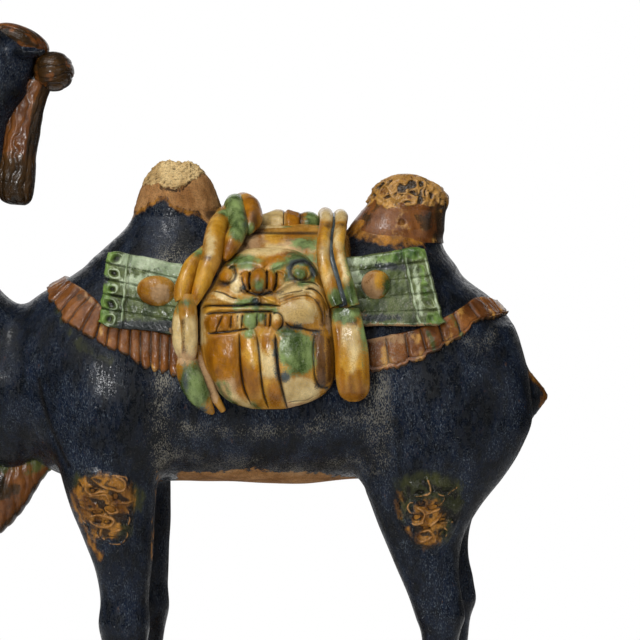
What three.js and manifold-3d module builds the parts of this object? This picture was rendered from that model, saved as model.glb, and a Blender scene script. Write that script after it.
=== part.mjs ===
// Sancai figure of a standing two-humped camel with its pack, on a low rectangular base.
// The figure, its load and its base are one piece of moulded, glazed and fired earthenware.
// Millimetres, +Z up. The camel faces -X and its left flank is on the -Y side.
// The origin is the centre of the base's underside.
import * as THREE from "three";
import { mergeVertices } from "three/addons/utils/BufferGeometryUtils.js";
import Module from "manifold-3d";

const wasm = await Module();
wasm.setup();

// Driving dimensions
const FIGURE_HEIGHT = 797; // soles to the highest point of the head
const BASE_THICKNESS = 26;
const BASE_END_MARGIN = 30; // base beyond the feet, at the front and back
const BASE_SIDE_MARGIN = 20; // base beyond the feet, at the sides
const BASE_CORNER = 24; // corner radius in plan
const BASE_DRAFT = 4; // how far the top edge steps in from the bottom edge
const FOOT_SINK = 2; // how deep the soles are pressed into the base

// The figure is laid out in parts, 762 of them to its height: x from the middle of its
// stance towards the rump, y towards its right flank, z from the soles.
const PARTS_HIGH = 762;
const PART = FIGURE_HEIGHT / PARTS_HIGH;

// How finely each form is faceted: rings along it, then points round each ring.
const FACET_COUNTS = {
  trunk: [16, 14],
  neck: [12, 11],
  throatHair: [14, 6],
  mane: [6, 7],
  hump: [9, 10],
  leg: [9, 8],
  skull: [9, 11],
  jaw: [5, 7],
  ear: [4, 6],
  tail: [8, 8],
  pad: [5, 11],
  topRoll: [7, 6],
  bag: [10, 12],
  brow: [9, 5],
  lip: [5, 4],
  groove: [4, 4],
  hank: [5, 5],
  cord: [6, 5],
  cordEnd: [5, 7],
};
// The same for round forms: slices round, then bands from pole to pole.
const ROUND = [8, 4];
const SMALL_ROUND = [6, 4];
const SMALLEST_ROUND = [5, 3];
const POINTED = [4, 3];
const CORNER_STEPS = 4; // edges to each rounded corner of the base
const WELD = 1e-4; // points nearer than this are one
// Powers of the squarer ellipses that sections are drawn with; 2 is a true ellipse.
const SOFT_SQUARE = 2.2;
const SQUARE = 2.6;

// Rows of numbers read smoothly (Catmull-Rom) at `count` even steps, first row to last.
function between(rows, count) {
  const last = rows.length - 1;
  const row = (i) => rows[Math.min(Math.max(i, 0), last)];
  return Array.from({ length: count }, (_, k) => {
    const t = (k / (count - 1)) * last;
    const i = Math.min(Math.floor(t), last - 1);
    const f = t - i;
    return rows[0].map((_, c) => {
      const [a, b, d, e] = [row(i - 1)[c], row(i)[c], row(i + 1)[c], row(i + 2)[c]];
      return b + 0.5 * f * (d - a + f * (2 * a - 5 * b + 4 * d - e + f * (3 * (b - d) + e - a)));
    });
  });
}

// A repeatable number from -1 to 1 for each whole n, for the hand-worked roughness.
const rough = (n) => 2 * ((((Math.sin(n * 12.9898) * 43758.5453) % 1) + 1) % 1) - 1;

// Cosine or sine of an angle pushed outwards, so that a ring of it is a squarer ellipse.
const squared = (t, power) => Math.sign(t) * Math.abs(t) ** (2 / power);

// A closed ring of points: `side` is the half-width along u, `up` and `down` are along v.
function ring(centre, u, v, side, up, down, count, power = 2) {
  return Array.from({ length: count }, (_, i) => {
    const angle = (2 * Math.PI * i) / count;
    const across = side * squared(Math.cos(angle), power);
    const rise = squared(Math.sin(angle), power);
    return centre
      .clone()
      .addScaledVector(u, across)
      .addScaledVector(v, rise * (rise > 0 ? up : down));
  });
}

// A closed mesh over a row of rings, with a fan at each end, in parts.
function skin(rings) {
  const sides = rings[0].length;
  const points = rings.flat();
  const faces = [];
  for (let k = 0; k + 1 < rings.length; k++)
    for (let i = 0; i < sides; i++) {
      const [a, b] = [k * sides + i, k * sides + ((i + 1) % sides)];
      faces.push(a, b, b + sides, a, b + sides, a + sides);
    }
  const end = (rings.length - 1) * sides;
  for (const first of [0, end]) {
    const centre = points
      .slice(first, first + sides)
      .reduce((sum, p) => sum.add(p), new THREE.Vector3())
      .divideScalar(sides);
    points.push(centre);
    for (let i = 0; i < sides; i++) {
      const [a, b] = [first + i, first + ((i + 1) % sides)];
      faces.push(...(first ? [a, b] : [b, a]), points.length - 1);
    }
  }
  const geometry = new THREE.BufferGeometry().setFromPoints(points);
  geometry.setIndex(faces);
  return geometry;
}

// The solid inside a closed mesh, turned right side out if its faces point inwards.
function solid(geometry) {
  const plain = new THREE.BufferGeometry();
  plain.setAttribute("position", geometry.getAttribute("position").clone());
  if (geometry.index) plain.setIndex([...geometry.index.array]);
  const merged = mergeVertices(plain, WELD);
  const [p, t] = [merged.attributes.position.array, new Uint32Array(merged.index.array)];
  const corner = (i) => new THREE.Vector3().fromArray(p, 3 * t[i]);
  let volume = 0;
  for (let i = 0; i < t.length; i += 3)
    volume += corner(i).dot(corner(i + 1).cross(corner(i + 2)));
  if (volume < 0) for (let i = 0; i < t.length; i += 3) [t[i], t[i + 1]] = [t[i + 1], t[i]];
  return new wasm.Manifold(new wasm.Mesh({ numProp: 3, vertProperties: p, triVerts: t }));
}

// Forms are drawn on the left flank (-Y); this sets one over to the right flank.
const onFarFlank = (geometry) => geometry.scale(1, -1, 1);

const X = new THREE.Vector3(1, 0, 0);
const Y = new THREE.Vector3(0, 1, 0);
const Z = new THREE.Vector3(0, 0, 1);
const at = (x, y, z) => new THREE.Vector3(x, y, z);

// Trunk, chest to rump: x, top, level of greatest width, bottom, half-width.
const TRUNK = [
  [-283, 398, 388, 378, 14],
  [-275, 432, 390, 340, 50],
  [-254, 461, 390, 308, 76],
  [-220, 488, 388, 290, 92],
  [-178, 517, 384, 284, 100],
  [-124, 532, 378, 286, 104],
  [-57, 531, 374, 285, 105],
  [10, 527, 372, 283, 105],
  [67, 526, 374, 288, 104],
  [114, 524, 378, 286, 103],
  [153, 507, 382, 284, 100],
  [180, 485, 384, 292, 92],
  [203, 467, 380, 304, 76],
  [223, 443, 376, 318, 54],
  [236, 408, 370, 336, 29],
  [242, 380, 370, 358, 8],
];
const [TRUNK_RINGS, TRUNK_SIDES] = FACET_COUNTS.trunk;
const trunkRows = between(TRUNK, TRUNK_RINGS);
const trunkRing = ([x, top, wide, bottom, half]) =>
  ring(at(x, 0, wide), Y, Z, half, top - wide, wide - bottom, TRUNK_SIDES, SOFT_SQUARE);
const trunk = () => skin(trunkRows.map(trunkRing));

// The trunk's section at any x: [x, top, level of greatest width, bottom, half-width].
function trunkAt(x) {
  const k = Math.max(1, trunkRows.findIndex((row) => row[0] > x));
  const [a, b] = [trunkRows[k - 1], trunkRows[k]];
  const f = (x - a[0]) / (b[0] - a[0]);
  return a.map((value, c) => value + f * (b[c] - value));
}

// Angle up the trunk's section, from its widest level, at which its skin is at height z.
const STEEPEST = 0.99; // keeps what lies on the left flank short of the backbone
function trunkAngle(x, z) {
  const [, top, wide] = trunkAt(x);
  const rise = Math.min(Math.max((z - wide) / (top - wide), 0), STEEPEST);
  return Math.asin(rise ** (SOFT_SQUARE / 2));
}

// A point of the trunk's left skin at x and an angle up its section, and the way it faces.
function trunkSkin(x, angle) {
  const [, top, wide, , half] = trunkAt(x);
  const across = -squared(Math.cos(angle), SOFT_SQUARE);
  const rise = squared(Math.sin(angle), SOFT_SQUARE);
  const point = at(x, half * across, wide + (top - wide) * rise);
  return { point, out: at(0, across / half, rise / (top - wide)).normalize() };
}

// A form told by facing points of its outline: x and z of one, x and z of the other, and
// half its width across the body. Its rings stand on the line between the two.
function outlined(rows, [count, sides], power = 2) {
  return skin(
    between(rows, count).map(([xa, za, xb, zb, half]) => {
      const [a, b] = [at(xa, 0, za), at(xb, 0, zb)];
      const reach = a.distanceTo(b) / 2;
      const middle = a.clone().add(b).divideScalar(2);
      return ring(middle, Y, a.sub(b).normalize(), half, reach, reach, sides, power);
    }),
  );
}

// Neck, out of the chest and round to the head: nape, throat, half-width.
const NECK = [
  [-196, 488, -196, 308, 80],
  [-236, 474, -241, 312, 76],
  [-266, 461, -283, 298, 71],
  [-290, 476, -333, 327, 66],
  [-305, 503, -379, 387, 59],
  [-313, 531, -406, 455, 52],
  [-311, 555, -411, 517, 47],
  [-297, 578, -393, 571, 43],
  [-286, 606, -373, 614, 41],
  [-281, 640, -352, 648, 38],
  [-264, 672, -324, 684, 34],
];
const neck = () => outlined(NECK, FACET_COUNTS.neck);

// Hair under the neck, chest to chin: its root inside the neck, its tip, half-width.
const THROAT_HAIR = [
  [-236, 322, -232, 304, 6],
  [-250, 326, -248, 288, 14],
  [-268, 324, -270, 254, 19],
  [-292, 320, -297, 231, 22],
  [-318, 330, -332, 240, 22],
  [-342, 352, -368, 284, 21],
  [-368, 390, -398, 338, 20],
  [-390, 440, -424, 404, 18],
  [-398, 490, -432, 472, 16],
  [-394, 545, -423, 538, 14],
  [-374, 600, -397, 600, 12],
  [-346, 648, -364, 652, 8],
];
const LOCK_RISE = 0.1; // how far each lock stands out, as a share of the hair's own depth
function throatHair() {
  const rows = between(THROAT_HAIR, FACET_COUNTS.throatHair[0]);
  const wavy = rows.map(([xa, za, xb, zb, half], k) => {
    const grow = k % 2 ? LOCK_RISE : -LOCK_RISE;
    return [xa, za, xb + grow * (xb - xa), zb + grow * (zb - za), half * (1 + grow)];
  });
  return outlined(wavy, FACET_COUNTS.throatHair);
}

// Mane down the nape, ending in a blunt tuft that stands off the neck.
const MANE = [
  [-272, 688, -238, 686, 12],
  [-284, 660, -247, 659, 14],
  [-286, 636, -251, 637, 16],
  [-290, 611, -255, 613, 17],
  [-294, 588, -257, 585, 16],
  [-290, 569, -260, 568, 14],
  [-281, 563, -266, 562, 8],
];
const mane = () => outlined(MANE, FACET_COUNTS.mane, SQUARE);

// Humps, bottom to top: z, x of the front, x of the back, half-width.
const FRONT_HUMP = [
  [505, -191, -42, 72],
  [524, -176, -54, 58],
  [540, -163, -63, 49],
  [552, -157, -66, 43],
  [566, -154, -70, 39],
  [580, -150, -76, 36],
  [592, -144, -81, 32],
  [599, -136, -88, 26],
  [602, -127, -98, 15],
];
const REAR_HUMP = [
  [500, 36, 161, 72],
  [516, 47, 154, 58],
  [530, 54, 152, 48],
  [543, 61, 153, 42],
  [554, 71, 155, 38],
  [562, 77, 157, 36],
  [571, 81, 155, 35],
  [581, 86, 151, 31],
  [588, 97, 138, 22],
  [591, 108, 124, 9],
];
const BREAK_ROUGH = [594, 1.6]; // level that the front hump is broken off at, depth of the break
const FUR_ROUGH = [566, 2.4]; // level that the rear hump's hair begins at, depth of its clumps
function hump(rows, [roughFrom, depth]) {
  const [count, sides] = FACET_COUNTS.hump;
  return skin(
    between(rows, count).map(([z, front, back, half], k) => {
      const middle = at((front + back) / 2, 0, z);
      const points = ring(middle, X, Y, (back - front) / 2, half, half, sides, SOFT_SQUARE);
      if (z < roughFrom) return points;
      return points.map((p, i) => {
        const knob = depth * rough(k * sides + i);
        return p.addScaledVector(p.clone().sub(middle).normalize(), knob).addScaledVector(Z, knob / 2);
      });
    }),
  );
}
const humps = () => [hump(FRONT_HUMP, BREAK_ROUGH), hump(REAR_HUMP, FUR_ROUGH)];

// Legs of the left side, shoulder or haunch to sole: z, x of the front, x of the back,
// y of the middle, half-width.
const FORELEG = [
  [452, -214, -152, -52, 30],
  [410, -226, -130, -62, 38],
  [365, -229, -118, -66, 41],
  [325, -228, -118, -67, 39],
  [295, -223, -128, -67, 35],
  [265, -214, -131, -65, 30],
  [235, -202, -133, -64, 27],
  [205, -191, -135, -63, 25],
  [175, -185, -138, -63, 23],
  [150, -187, -137, -63, 24],
  [125, -182, -141, -63, 19],
  [85, -180, -145, -63, 16],
  [45, -184, -141, -63, 20],
  [24, -192, -138, -63, 26],
  [6, -198, -136, -63, 29],
];
const HIND_LEG = [
  [440, 106, 218, -48, 30],
  [400, 90, 232, -58, 40],
  [355, 80, 238, -62, 43],
  [325, 74, 228, -63, 42],
  [295, 71, 210, -63, 37],
  [265, 80, 186, -62, 32],
  [235, 92, 171, -62, 27],
  [205, 105, 166, -62, 24],
  [177, 117, 169, -62, 21],
  [157, 124, 172, -62, 21],
  [135, 130, 166, -62, 18],
  [85, 131, 163, -62, 15],
  [45, 127, 167, -62, 19],
  [24, 119, 171, -62, 25],
  [6, 113, 172, -62, 28],
];
const RIGHT_FORELEG_BACK = 11; // how far the right feet stand behind the left ones
const RIGHT_HIND_LEG_BACK = 19;
const STEP_RINGS = 5; // the shoulder stays, and the step is taken over this many rings below it
const TOE_CLEFT = [26, 5, 16]; // length, width and height of the split between the two toes
function leg(rows, side, back) {
  const [count, sides] = FACET_COUNTS.leg;
  const sole = rows[rows.length - 1];
  const whole = [...between(rows, count), [-FOOT_SINK / PART, ...sole.slice(1)]];
  return skin(
    whole.map(([z, front, rear, y, half], k) => {
      const step = back * Math.min(1, k / STEP_RINGS);
      const middle = at((front + rear) / 2 + step, side * -y, z);
      return ring(middle, X, Y, (rear - front) / 2, half, half, sides, SOFT_SQUARE);
    }),
  );
}
const LEGS = [
  [FORELEG, -1, 0],
  [FORELEG, 1, RIGHT_FORELEG_BACK],
  [HIND_LEG, -1, 0],
  [HIND_LEG, 1, RIGHT_HIND_LEG_BACK],
];
function toeCleft([rows, side, back]) {
  const [, front, , y] = rows[rows.length - 1];
  const [length, width, height] = TOE_CLEFT;
  const wedge = new THREE.CylinderGeometry(width / 2, width, length, POINTED[0], 1);
  wedge.rotateZ(-Math.PI / 2);
  wedge.scale(1, 1, height / width);
  wedge.translate(front + back, side * -y, height / 2);
  return wedge;
}

// Clumped hair on the thick of each leg: x, z and half-sizes of the patch.
const FORELEG_HAIR = [-178, 264, 28, 36];
const HIND_LEG_HAIR = [137, 262, 23, 37];
const HAIR_RISE = 5; // how far a clump stands out of the leg
const HAIR_ROOT = 12; // depth of the patch's back behind the leg's skin
const HAIR_CLUMPS = 7; // round the edge of the patch
const HAIR_RAGGED = 0.12; // how uneven that edge is, as a share of the patch
const HAIR_WRAP = 0.93; // how far round the leg it may reach, as a share of the leg's half-width
const HAIR_BANDS = [
  [1, -HAIR_ROOT, 0],
  [1, HAIR_RISE / 5, 0],
  [0.5, HAIR_RISE, HAIR_RISE / 2],
]; // share of the patch's size, rise over the skin, and unevenness of that rise
const LEVELS = 40; // steps that a leg's outline is read at
function legHair([rows, side, back], [x, z, across, high]) {
  const levels = between(rows, LEVELS);
  const skinAt = (px, pz) => {
    const level = levels.reduce((a, b) => (Math.abs(b[0] - pz) < Math.abs(a[0] - pz) ? b : a));
    const [, front, rear, y, half] = level;
    const middle = (front + rear) / 2;
    const off = Math.max(-HAIR_WRAP, Math.min(HAIR_WRAP, (px - middle) / (rear - middle)));
    const out = half * (1 - Math.abs(off) ** SOFT_SQUARE) ** (1 / SOFT_SQUARE);
    return [middle + off * (rear - middle), out - y];
  };
  return skin(
    HAIR_BANDS.map(([share, rise, uneven], k) =>
      Array.from({ length: HAIR_CLUMPS }, (_, i) => {
        const angle = (2 * Math.PI * (i + k / 2)) / HAIR_CLUMPS;
        const seed = i + k * HAIR_CLUMPS;
        const reach = share * (1 + HAIR_RAGGED * rough(seed));
        const pz = z + reach * high * Math.sin(angle);
        const [px, out] = skinAt(x + reach * across * Math.cos(angle), pz);
        return at(px + back, side * (out + rise + uneven * rough(-seed)), pz);
      }),
    ),
  );
}

// Head: distance from the back of the skull, then height above, depth below and half-width.
const SKULL = [
  [0, 6, 8, 8],
  [6, 24, 30, 24],
  [26, 34, 48, 36],
  [52, 36, 50, 39],
  [80, 27, 34, 32],
  [108, 22, 24, 26],
  [134, 23, 20, 26],
  [152, 19, 16, 24],
  [163, 8, 8, 13],
];
const JAW = [
  [0, 18, 22, 27],
  [26, 14, 20, 25],
  [54, 10, 16, 20],
  [80, 9, 13, 18],
  [96, 5, 8, 11],
];
const HEAD_TILT = 22; // degrees that the muzzle is raised
const SKULL_AT = [-258, 688]; // back of the skull
const JAW_AT = [38, -25]; // jaw's hinge along and across the skull
const JAW_DROP = 10; // degrees that the mouth is open
// What stands on each side of it: along the skull, out and above, and the half-sizes.
const HEAD_KNOBS = [
  [[64, 34, 12], [9, 9, 9]], // eye
  [[58, 29, 23], [19, 10, 8]], // brow
  [[146, 22, 10], [9, 5, 6]], // nostril
];
const EAR = [
  [-6, 5, 5, 6],
  [8, 6, 6, 9],
  [22, 5, 5, 10],
  [34, 3, 4, 6],
  [40, 1, 1, 2],
];
const EAR_ROOT = [24, 29, 16]; // along the skull, out and above
const EAR_LIFT = 0.35; // radians up from the line of the skull
const EAR_SPREAD = 0.55; // radians out from the line of the skull
const CROWN_ROLL = [21, 27, 21]; // half-sizes of the rolled tuft behind the head
const CROWN_ROLL_AT = [-237, 0, 696];
const FORELOCK = [30, 24, 15]; // half-sizes of the tuft on the crown
const FORELOCK_AT = [26, 0, 32];

// Turns drawings along the skull (x along it, z above it) to the head's tilt and place.
function onHead(geometry) {
  const tilt = new THREE.Matrix4().makeRotationY(THREE.MathUtils.degToRad(HEAD_TILT));
  const place = new THREE.Matrix4().makeTranslation(SKULL_AT[0], 0, SKULL_AT[1]);
  return geometry.scale(-1, 1, 1).applyMatrix4(place.multiply(tilt));
}
const tapered = (rows, [count, sides]) =>
  skin(
    between(rows, count).map(([s, up, down, half]) =>
      ring(at(s, 0, 0), Y, Z, half, up, down, sides, SOFT_SQUARE),
    ),
  );
const ball = ([x, y, z], [a, b, c], round) =>
  new THREE.SphereGeometry(1, ...round).scale(a, b, c).translate(x, y, z);
function ear(side) {
  const [along, out, above] = EAR_ROOT;
  return tapered(EAR, FACET_COUNTS.ear)
    .scale(-1, 1, 1)
    .rotateY(EAR_LIFT)
    .rotateZ(-side * EAR_SPREAD)
    .translate(along, side * out, above);
}
function head() {
  const skull = tapered(SKULL, FACET_COUNTS.skull);
  const jaw = tapered(JAW, FACET_COUNTS.jaw)
    .rotateY(THREE.MathUtils.degToRad(JAW_DROP))
    .translate(JAW_AT[0], 0, JAW_AT[1]);
  const knobs = [-1, 1].flatMap((side) =>
    HEAD_KNOBS.map(([[along, out, above], size]) => ball([along, side * out, above], size, SMALLEST_ROUND)),
  );
  const forelock = ball(FORELOCK_AT, FORELOCK, ROUND);
  return [skull, jaw, ...knobs, ear(-1), ear(1), forelock].map(onHead);
}
const crownRoll = () => ball(CROWN_ROLL_AT, CROWN_ROLL, ROUND);

// Tail, a short wedge against the rump: x and z inside it, x and z of its outline, half-width.
const TAIL = [
  [222, 404, 235, 403, 4],
  [223, 394, 243, 394, 7],
  [224, 383, 251, 384, 9],
  [224, 375, 257, 376, 9],
  [224, 368, 259, 370, 9],
  [223, 360, 254, 361, 8],
  [221, 350, 245, 350, 7],
  [219, 339, 236, 339, 4],
];
const tail = () => outlined(TAIL, FACET_COUNTS.tail);

// Pleated border of the saddle cloth, front to back along the left flank:
// x and z of its inner edge, x and z of its outer edge.
const CLOTH_BORDER = [
  [-224, 492, -237, 467],
  [-211, 478, -225, 454],
  [-194, 467, -210, 441],
  [-181, 457, -195, 428],
  [-174, 447, -182, 420],
  [-165, 442, -168, 415],
  [-143, 437, -145, 404],
  [-117, 433, -118, 397],
  [-86, 428, -86, 392],
  [-20, 421, -20, 388],
  [50, 424, 50, 392],
  [78, 428, 80, 399],
  [103, 432, 108, 402],
  [127, 437, 136, 411],
  [147, 444, 155, 421],
  [163, 455, 174, 432],
  [182, 470, 194, 443],
  [197, 474, 207, 449],
  [206, 466, 218, 449],
];
const PLEATS = [13, 9]; // along the near flank and the far flank
const PLEAT_RISE = [3.5, 9]; // height of a valley and of a crest over the skin
const BORDER_EDGE = 3; // thickness of the border at its two edges
const BORDER_SINK = 4; // depth of the border's underside below the skin
function clothBorder(pleats) {
  const sections = between(CLOTH_BORDER, 2 * pleats + 1).map(([xi, zi, xo, zo], k) => {
    const edges = [0, 0.5, 1].map((f) => {
      const angle = (1 - f) * trunkAngle(xi, zi) + f * trunkAngle(xo, zo);
      return trunkSkin(xi + f * (xo - xi), angle);
    });
    const lifted = ({ point, out }, rise) => point.clone().addScaledVector(out, rise);
    const over = [BORDER_EDGE, PLEAT_RISE[k % 2], BORDER_EDGE].map((rise, i) => lifted(edges[i], rise));
    const under = [edges[2], edges[0]].map((edge) => lifted(edge, -BORDER_SINK));
    return [...over, ...under];
  });
  return skin(sections);
}
const BORDER_TIES = [-232, 211]; // x at which the border crosses the back
const BORDER_TIE = [14, 34, 12]; // half-sizes of the border there
const BORDER_TIE_SINK = 9; // its middle below the top of the back
const borderTies = () =>
  BORDER_TIES.map((x) => ball([x, 0, trunkAt(x)[1] - BORDER_TIE_SINK], BORDER_TIE, SMALL_ROUND));

// Saddle pad arched over the back between the humps: x, level, half-width, height above.
const PAD = [
  [-70, 452, 90, 70],
  [-64, 452, 98, 86],
  [-20, 452, 101, 90],
  [28, 452, 101, 90],
  [54, 452, 98, 86],
  [60, 452, 90, 72],
];
const PAD_DEPTH = 60; // below the pad's widest level, inside the trunk
function pad() {
  const [count, sides] = FACET_COUNTS.pad;
  return skin(
    between(PAD, count).map(([x, z, half, up]) =>
      ring(at(x, 0, z), Y, Z, half, up, PAD_DEPTH, sides, SQUARE),
    ),
  );
}

// Rolled goods on top of the pad, front to back: x, radius.
const TOP_ROLL = [
  [-48, 4],
  [-38, 11],
  [-20, 15],
  [-4, 14],
  [2, 17],
  [9, 13],
  [20, 15],
  [34, 9],
];
const TOP_ROLL_LEVEL = 540;
const TOP_ROLL_WIDE = 1.9; // its width over its thickness
function topRoll() {
  const [count, sides] = FACET_COUNTS.topRoll;
  return skin(
    between(TOP_ROLL, count).map(([x, r]) =>
      ring(at(x, 0, TOP_ROLL_LEVEL), Y, Z, r * TOP_ROLL_WIDE, r, r, sides),
    ),
  );
}

// Saddle boards, one fore and one aft on each flank. Corners in side view, from the end
// under the pack: top, top of the free end, bottom of the free end, bottom.
const FORE_BOARD = [
  [-92, 500],
  [-176, 518],
  [-184, 444],
  [-92, 431],
];
const AFT_BOARD = [
  [46, 508],
  [131, 521],
  [151, 443],
  [46, 442],
];
const BOARD_THICKNESS = 14;
const BOARD_FACE = [-105, -84]; // y of the outer face at the bottom and at the top
const BOARD_LEVELS = [432, 516]; // z that those two are stated at
const PLANKS = 5;
const PLANK_GROOVE = 2.4;
const PLANK_EDGE = 0.03; // half the width of a groove, as a share of the board's height
const END_STRIP = 20; // width of the row of pegged squares at the free end
const SQUARE_RISE = 3;
const STEP_LEAN = 0.006; // how far the squares' inner edges lean, for each unit of their rise
const boardFace = (z) => {
  const f = (z - BOARD_LEVELS[0]) / (BOARD_LEVELS[1] - BOARD_LEVELS[0]);
  return BOARD_FACE[0] + f * (BOARD_FACE[1] - BOARD_FACE[0]);
};
// A point of a board: along from the pack to the free end, down its height, and outwards.
function onBoard([topIn, topOut, lowOut, lowIn], along, down, out) {
  const mix = (a, b, f) => a + f * (b - a);
  const x = mix(mix(topIn[0], topOut[0], along), mix(lowIn[0], lowOut[0], along), down);
  const z = mix(mix(topIn[1], topOut[1], along), mix(lowIn[1], lowOut[1], along), down);
  return at(x, boardFace(z) - out, z);
}
function board(corners, squared) {
  const edge = [];
  for (let i = 0; i < PLANKS; i++) {
    const [a, b] = [i / PLANKS, (i + 1) / PLANKS];
    edge.push([a + PLANK_EDGE, 0], [b - PLANK_EDGE, 0]);
    if (i + 1 < PLANKS) edge.push([b, -PLANK_GROOVE]);
  }
  edge.push([1, -BOARD_THICKNESS], [0, -BOARD_THICKNESS]);
  const strip = 1 - END_STRIP / Math.abs(corners[1][0] - corners[0][0]);
  const raised = [[strip, 0], [strip, SQUARE_RISE], [1, SQUARE_RISE]];
  const steps = [[0, 0], ...(squared ? raised : [[1, 0]])];
  return skin(
    steps.map(([along, step]) =>
      edge.map(([down, out]) => onBoard(corners, along + step * STEP_LEAN, down, out === 0 ? step : out)),
    ),
  );
}
const FORE_BOSS = [-128, 477, 18.5, 15.5]; // x, z, half-width and half-height of the round boss
const AFT_BOSS = [84, 483, 14.5, 14];
const BOSS_RISE = 11;
const boss = ([x, z, across, high]) => ball([x, boardFace(z), z], [across, BOSS_RISE, high], ROUND);

// Bag hung on each flank: the outline and bulge of its rings, top to bottom:
// z, x of the front edge, x of the back edge, y of the inside, y of the outside.
const BAG = [
  [519, -34, -8, -68, -82],
  [512, -53, 15, -70, -98],
  [504, -62, 23, -72, -107],
  [496, -67, 28, -76, -113],
  [478, -78, 35, -80, -122],
  [454, -86, 40.5, -80, -132],
  [430, -86, 44, -80, -138],
  [402, -81.5, 45, -80, -140],
  [382, -69, 38, -80, -133],
  [369, -54, 17, -86, -119],
  [363.5, -36, -3, -92, -110],
];
const BAG_SQUARE = 3;
const bagRows = between(BAG, FACET_COUNTS.bag[0]);
function bag() {
  return skin(
    bagRows.map(([z, front, back, inside, outside]) => {
      const middle = at((front + back) / 2, (inside + outside) / 2, z);
      const deep = (inside - outside) / 2;
      return ring(middle, X, Y, (back - front) / 2, deep, deep, FACET_COUNTS.bag[1], BAG_SQUARE);
    }),
  );
}

// y of the bag's outer skin at x and z.
function bagSkin(x, z) {
  const k = Math.max(1, bagRows.findIndex((row) => row[0] < z));
  const [a, b] = [bagRows[k - 1], bagRows[k]];
  const f = (z - a[0]) / (b[0] - a[0]);
  const [, front, back, inside, outside] = a.map((value, c) => value + f * (b[c] - value));
  const off = Math.min(1, Math.abs(2 * x - front - back) / (back - front));
  return (inside + outside) / 2 - ((inside - outside) / 2) * (1 - off ** BAG_SQUARE) ** (1 / BAG_SQUARE);
}

// Demon mask on the bag, as x and z: eyes, arched brow, wrinkled snout, cheeks, lips, teeth.
const MASK_EYES = [
  [-60, 492],
  [11, 494],
];
const EYE_BALL = [8, 8, 7];
const MASK_BROWS = [
  [-66, 497],
  [-57, 507],
  [-44, 511],
  [-28, 503],
  [-15, 500],
  [2, 507],
  [17, 508],
  [26, 492],
];
const BROW_THICK = 4;
const SNOUT_LOBES = [
  [-43, 486, 7],
  [-29, 487, 8.5],
  [-15, 487, 7],
];
const SNOUT_DEEP = [10, 12]; // half-depth and half-height of each lobe
const MASK_CHEEKS = [
  [-66, 474, 20, 7],
  [13, 458, 21, 15],
];
const CHEEK_RISE = 6;
const LIP_LINE = [
  [-82, 462],
  [-66, 467],
  [-48, 466],
  [-30, 465],
  [-12, 464],
];
const LIP_THICK = 3;
const LIP_STEP = 6; // from the upper lip down to the lower one
const TEETH = [-72, -60, -49, -37, -25, -11];
const TEETH_LEVEL = 448;
const TOOTH = [6, 6, 8];
const BEARD_GROOVES = [-47, -30, -13]; // x of the grooves down the bag below the teeth
const BEARD_GROOVE = [
  [0, 436],
  [1, 412],
  [4, 385],
  [11, 366],
]; // x from the groove's top, and z
const GROOVE_WIDE = 1.6;
const GROOVE_DEEP = 4;
const onBag = ([x, z], size, round) => ball([x, bagSkin(x, z), z], size, round);
function ridge(line, drop, thick, [count, sides]) {
  return skin(
    between(line, count).map(([x, level]) => {
      const z = level - drop;
      return ring(at(x, bagSkin(x, z), z), Y, Z, thick, thick, thick, sides);
    }),
  );
}
function mask(whole) {
  const eyes = MASK_EYES.map((place) => onBag(place, EYE_BALL, SMALL_ROUND));
  const brow = ridge(MASK_BROWS, 0, BROW_THICK, FACET_COUNTS.brow);
  if (!whole) return [...eyes, brow];
  const snout = SNOUT_LOBES.map(([x, z, half]) => onBag([x, z], [half, ...SNOUT_DEEP], SMALL_ROUND));
  const cheeks = MASK_CHEEKS.map(([x, z, across, high]) =>
    onBag([x, z], [across, CHEEK_RISE, high], SMALL_ROUND),
  );
  const lips = [0, LIP_STEP].map((drop) => ridge(LIP_LINE, drop, LIP_THICK, FACET_COUNTS.lip));
  const teeth = TEETH.map((x) => onBag([x, TEETH_LEVEL], TOOTH, POINTED));
  return [...eyes, brow, ...snout, ...cheeks, ...lips, ...teeth];
}
function beardGroove(x) {
  const [count, sides] = FACET_COUNTS.groove;
  return skin(
    between(BEARD_GROOVE, count).map(([dx, z]) =>
      ring(at(x + dx, bagSkin(x + dx, z), z), X, Y, GROOVE_WIDE, GROOVE_DEEP, GROOVE_DEEP, sides),
    ),
  );
}

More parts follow.
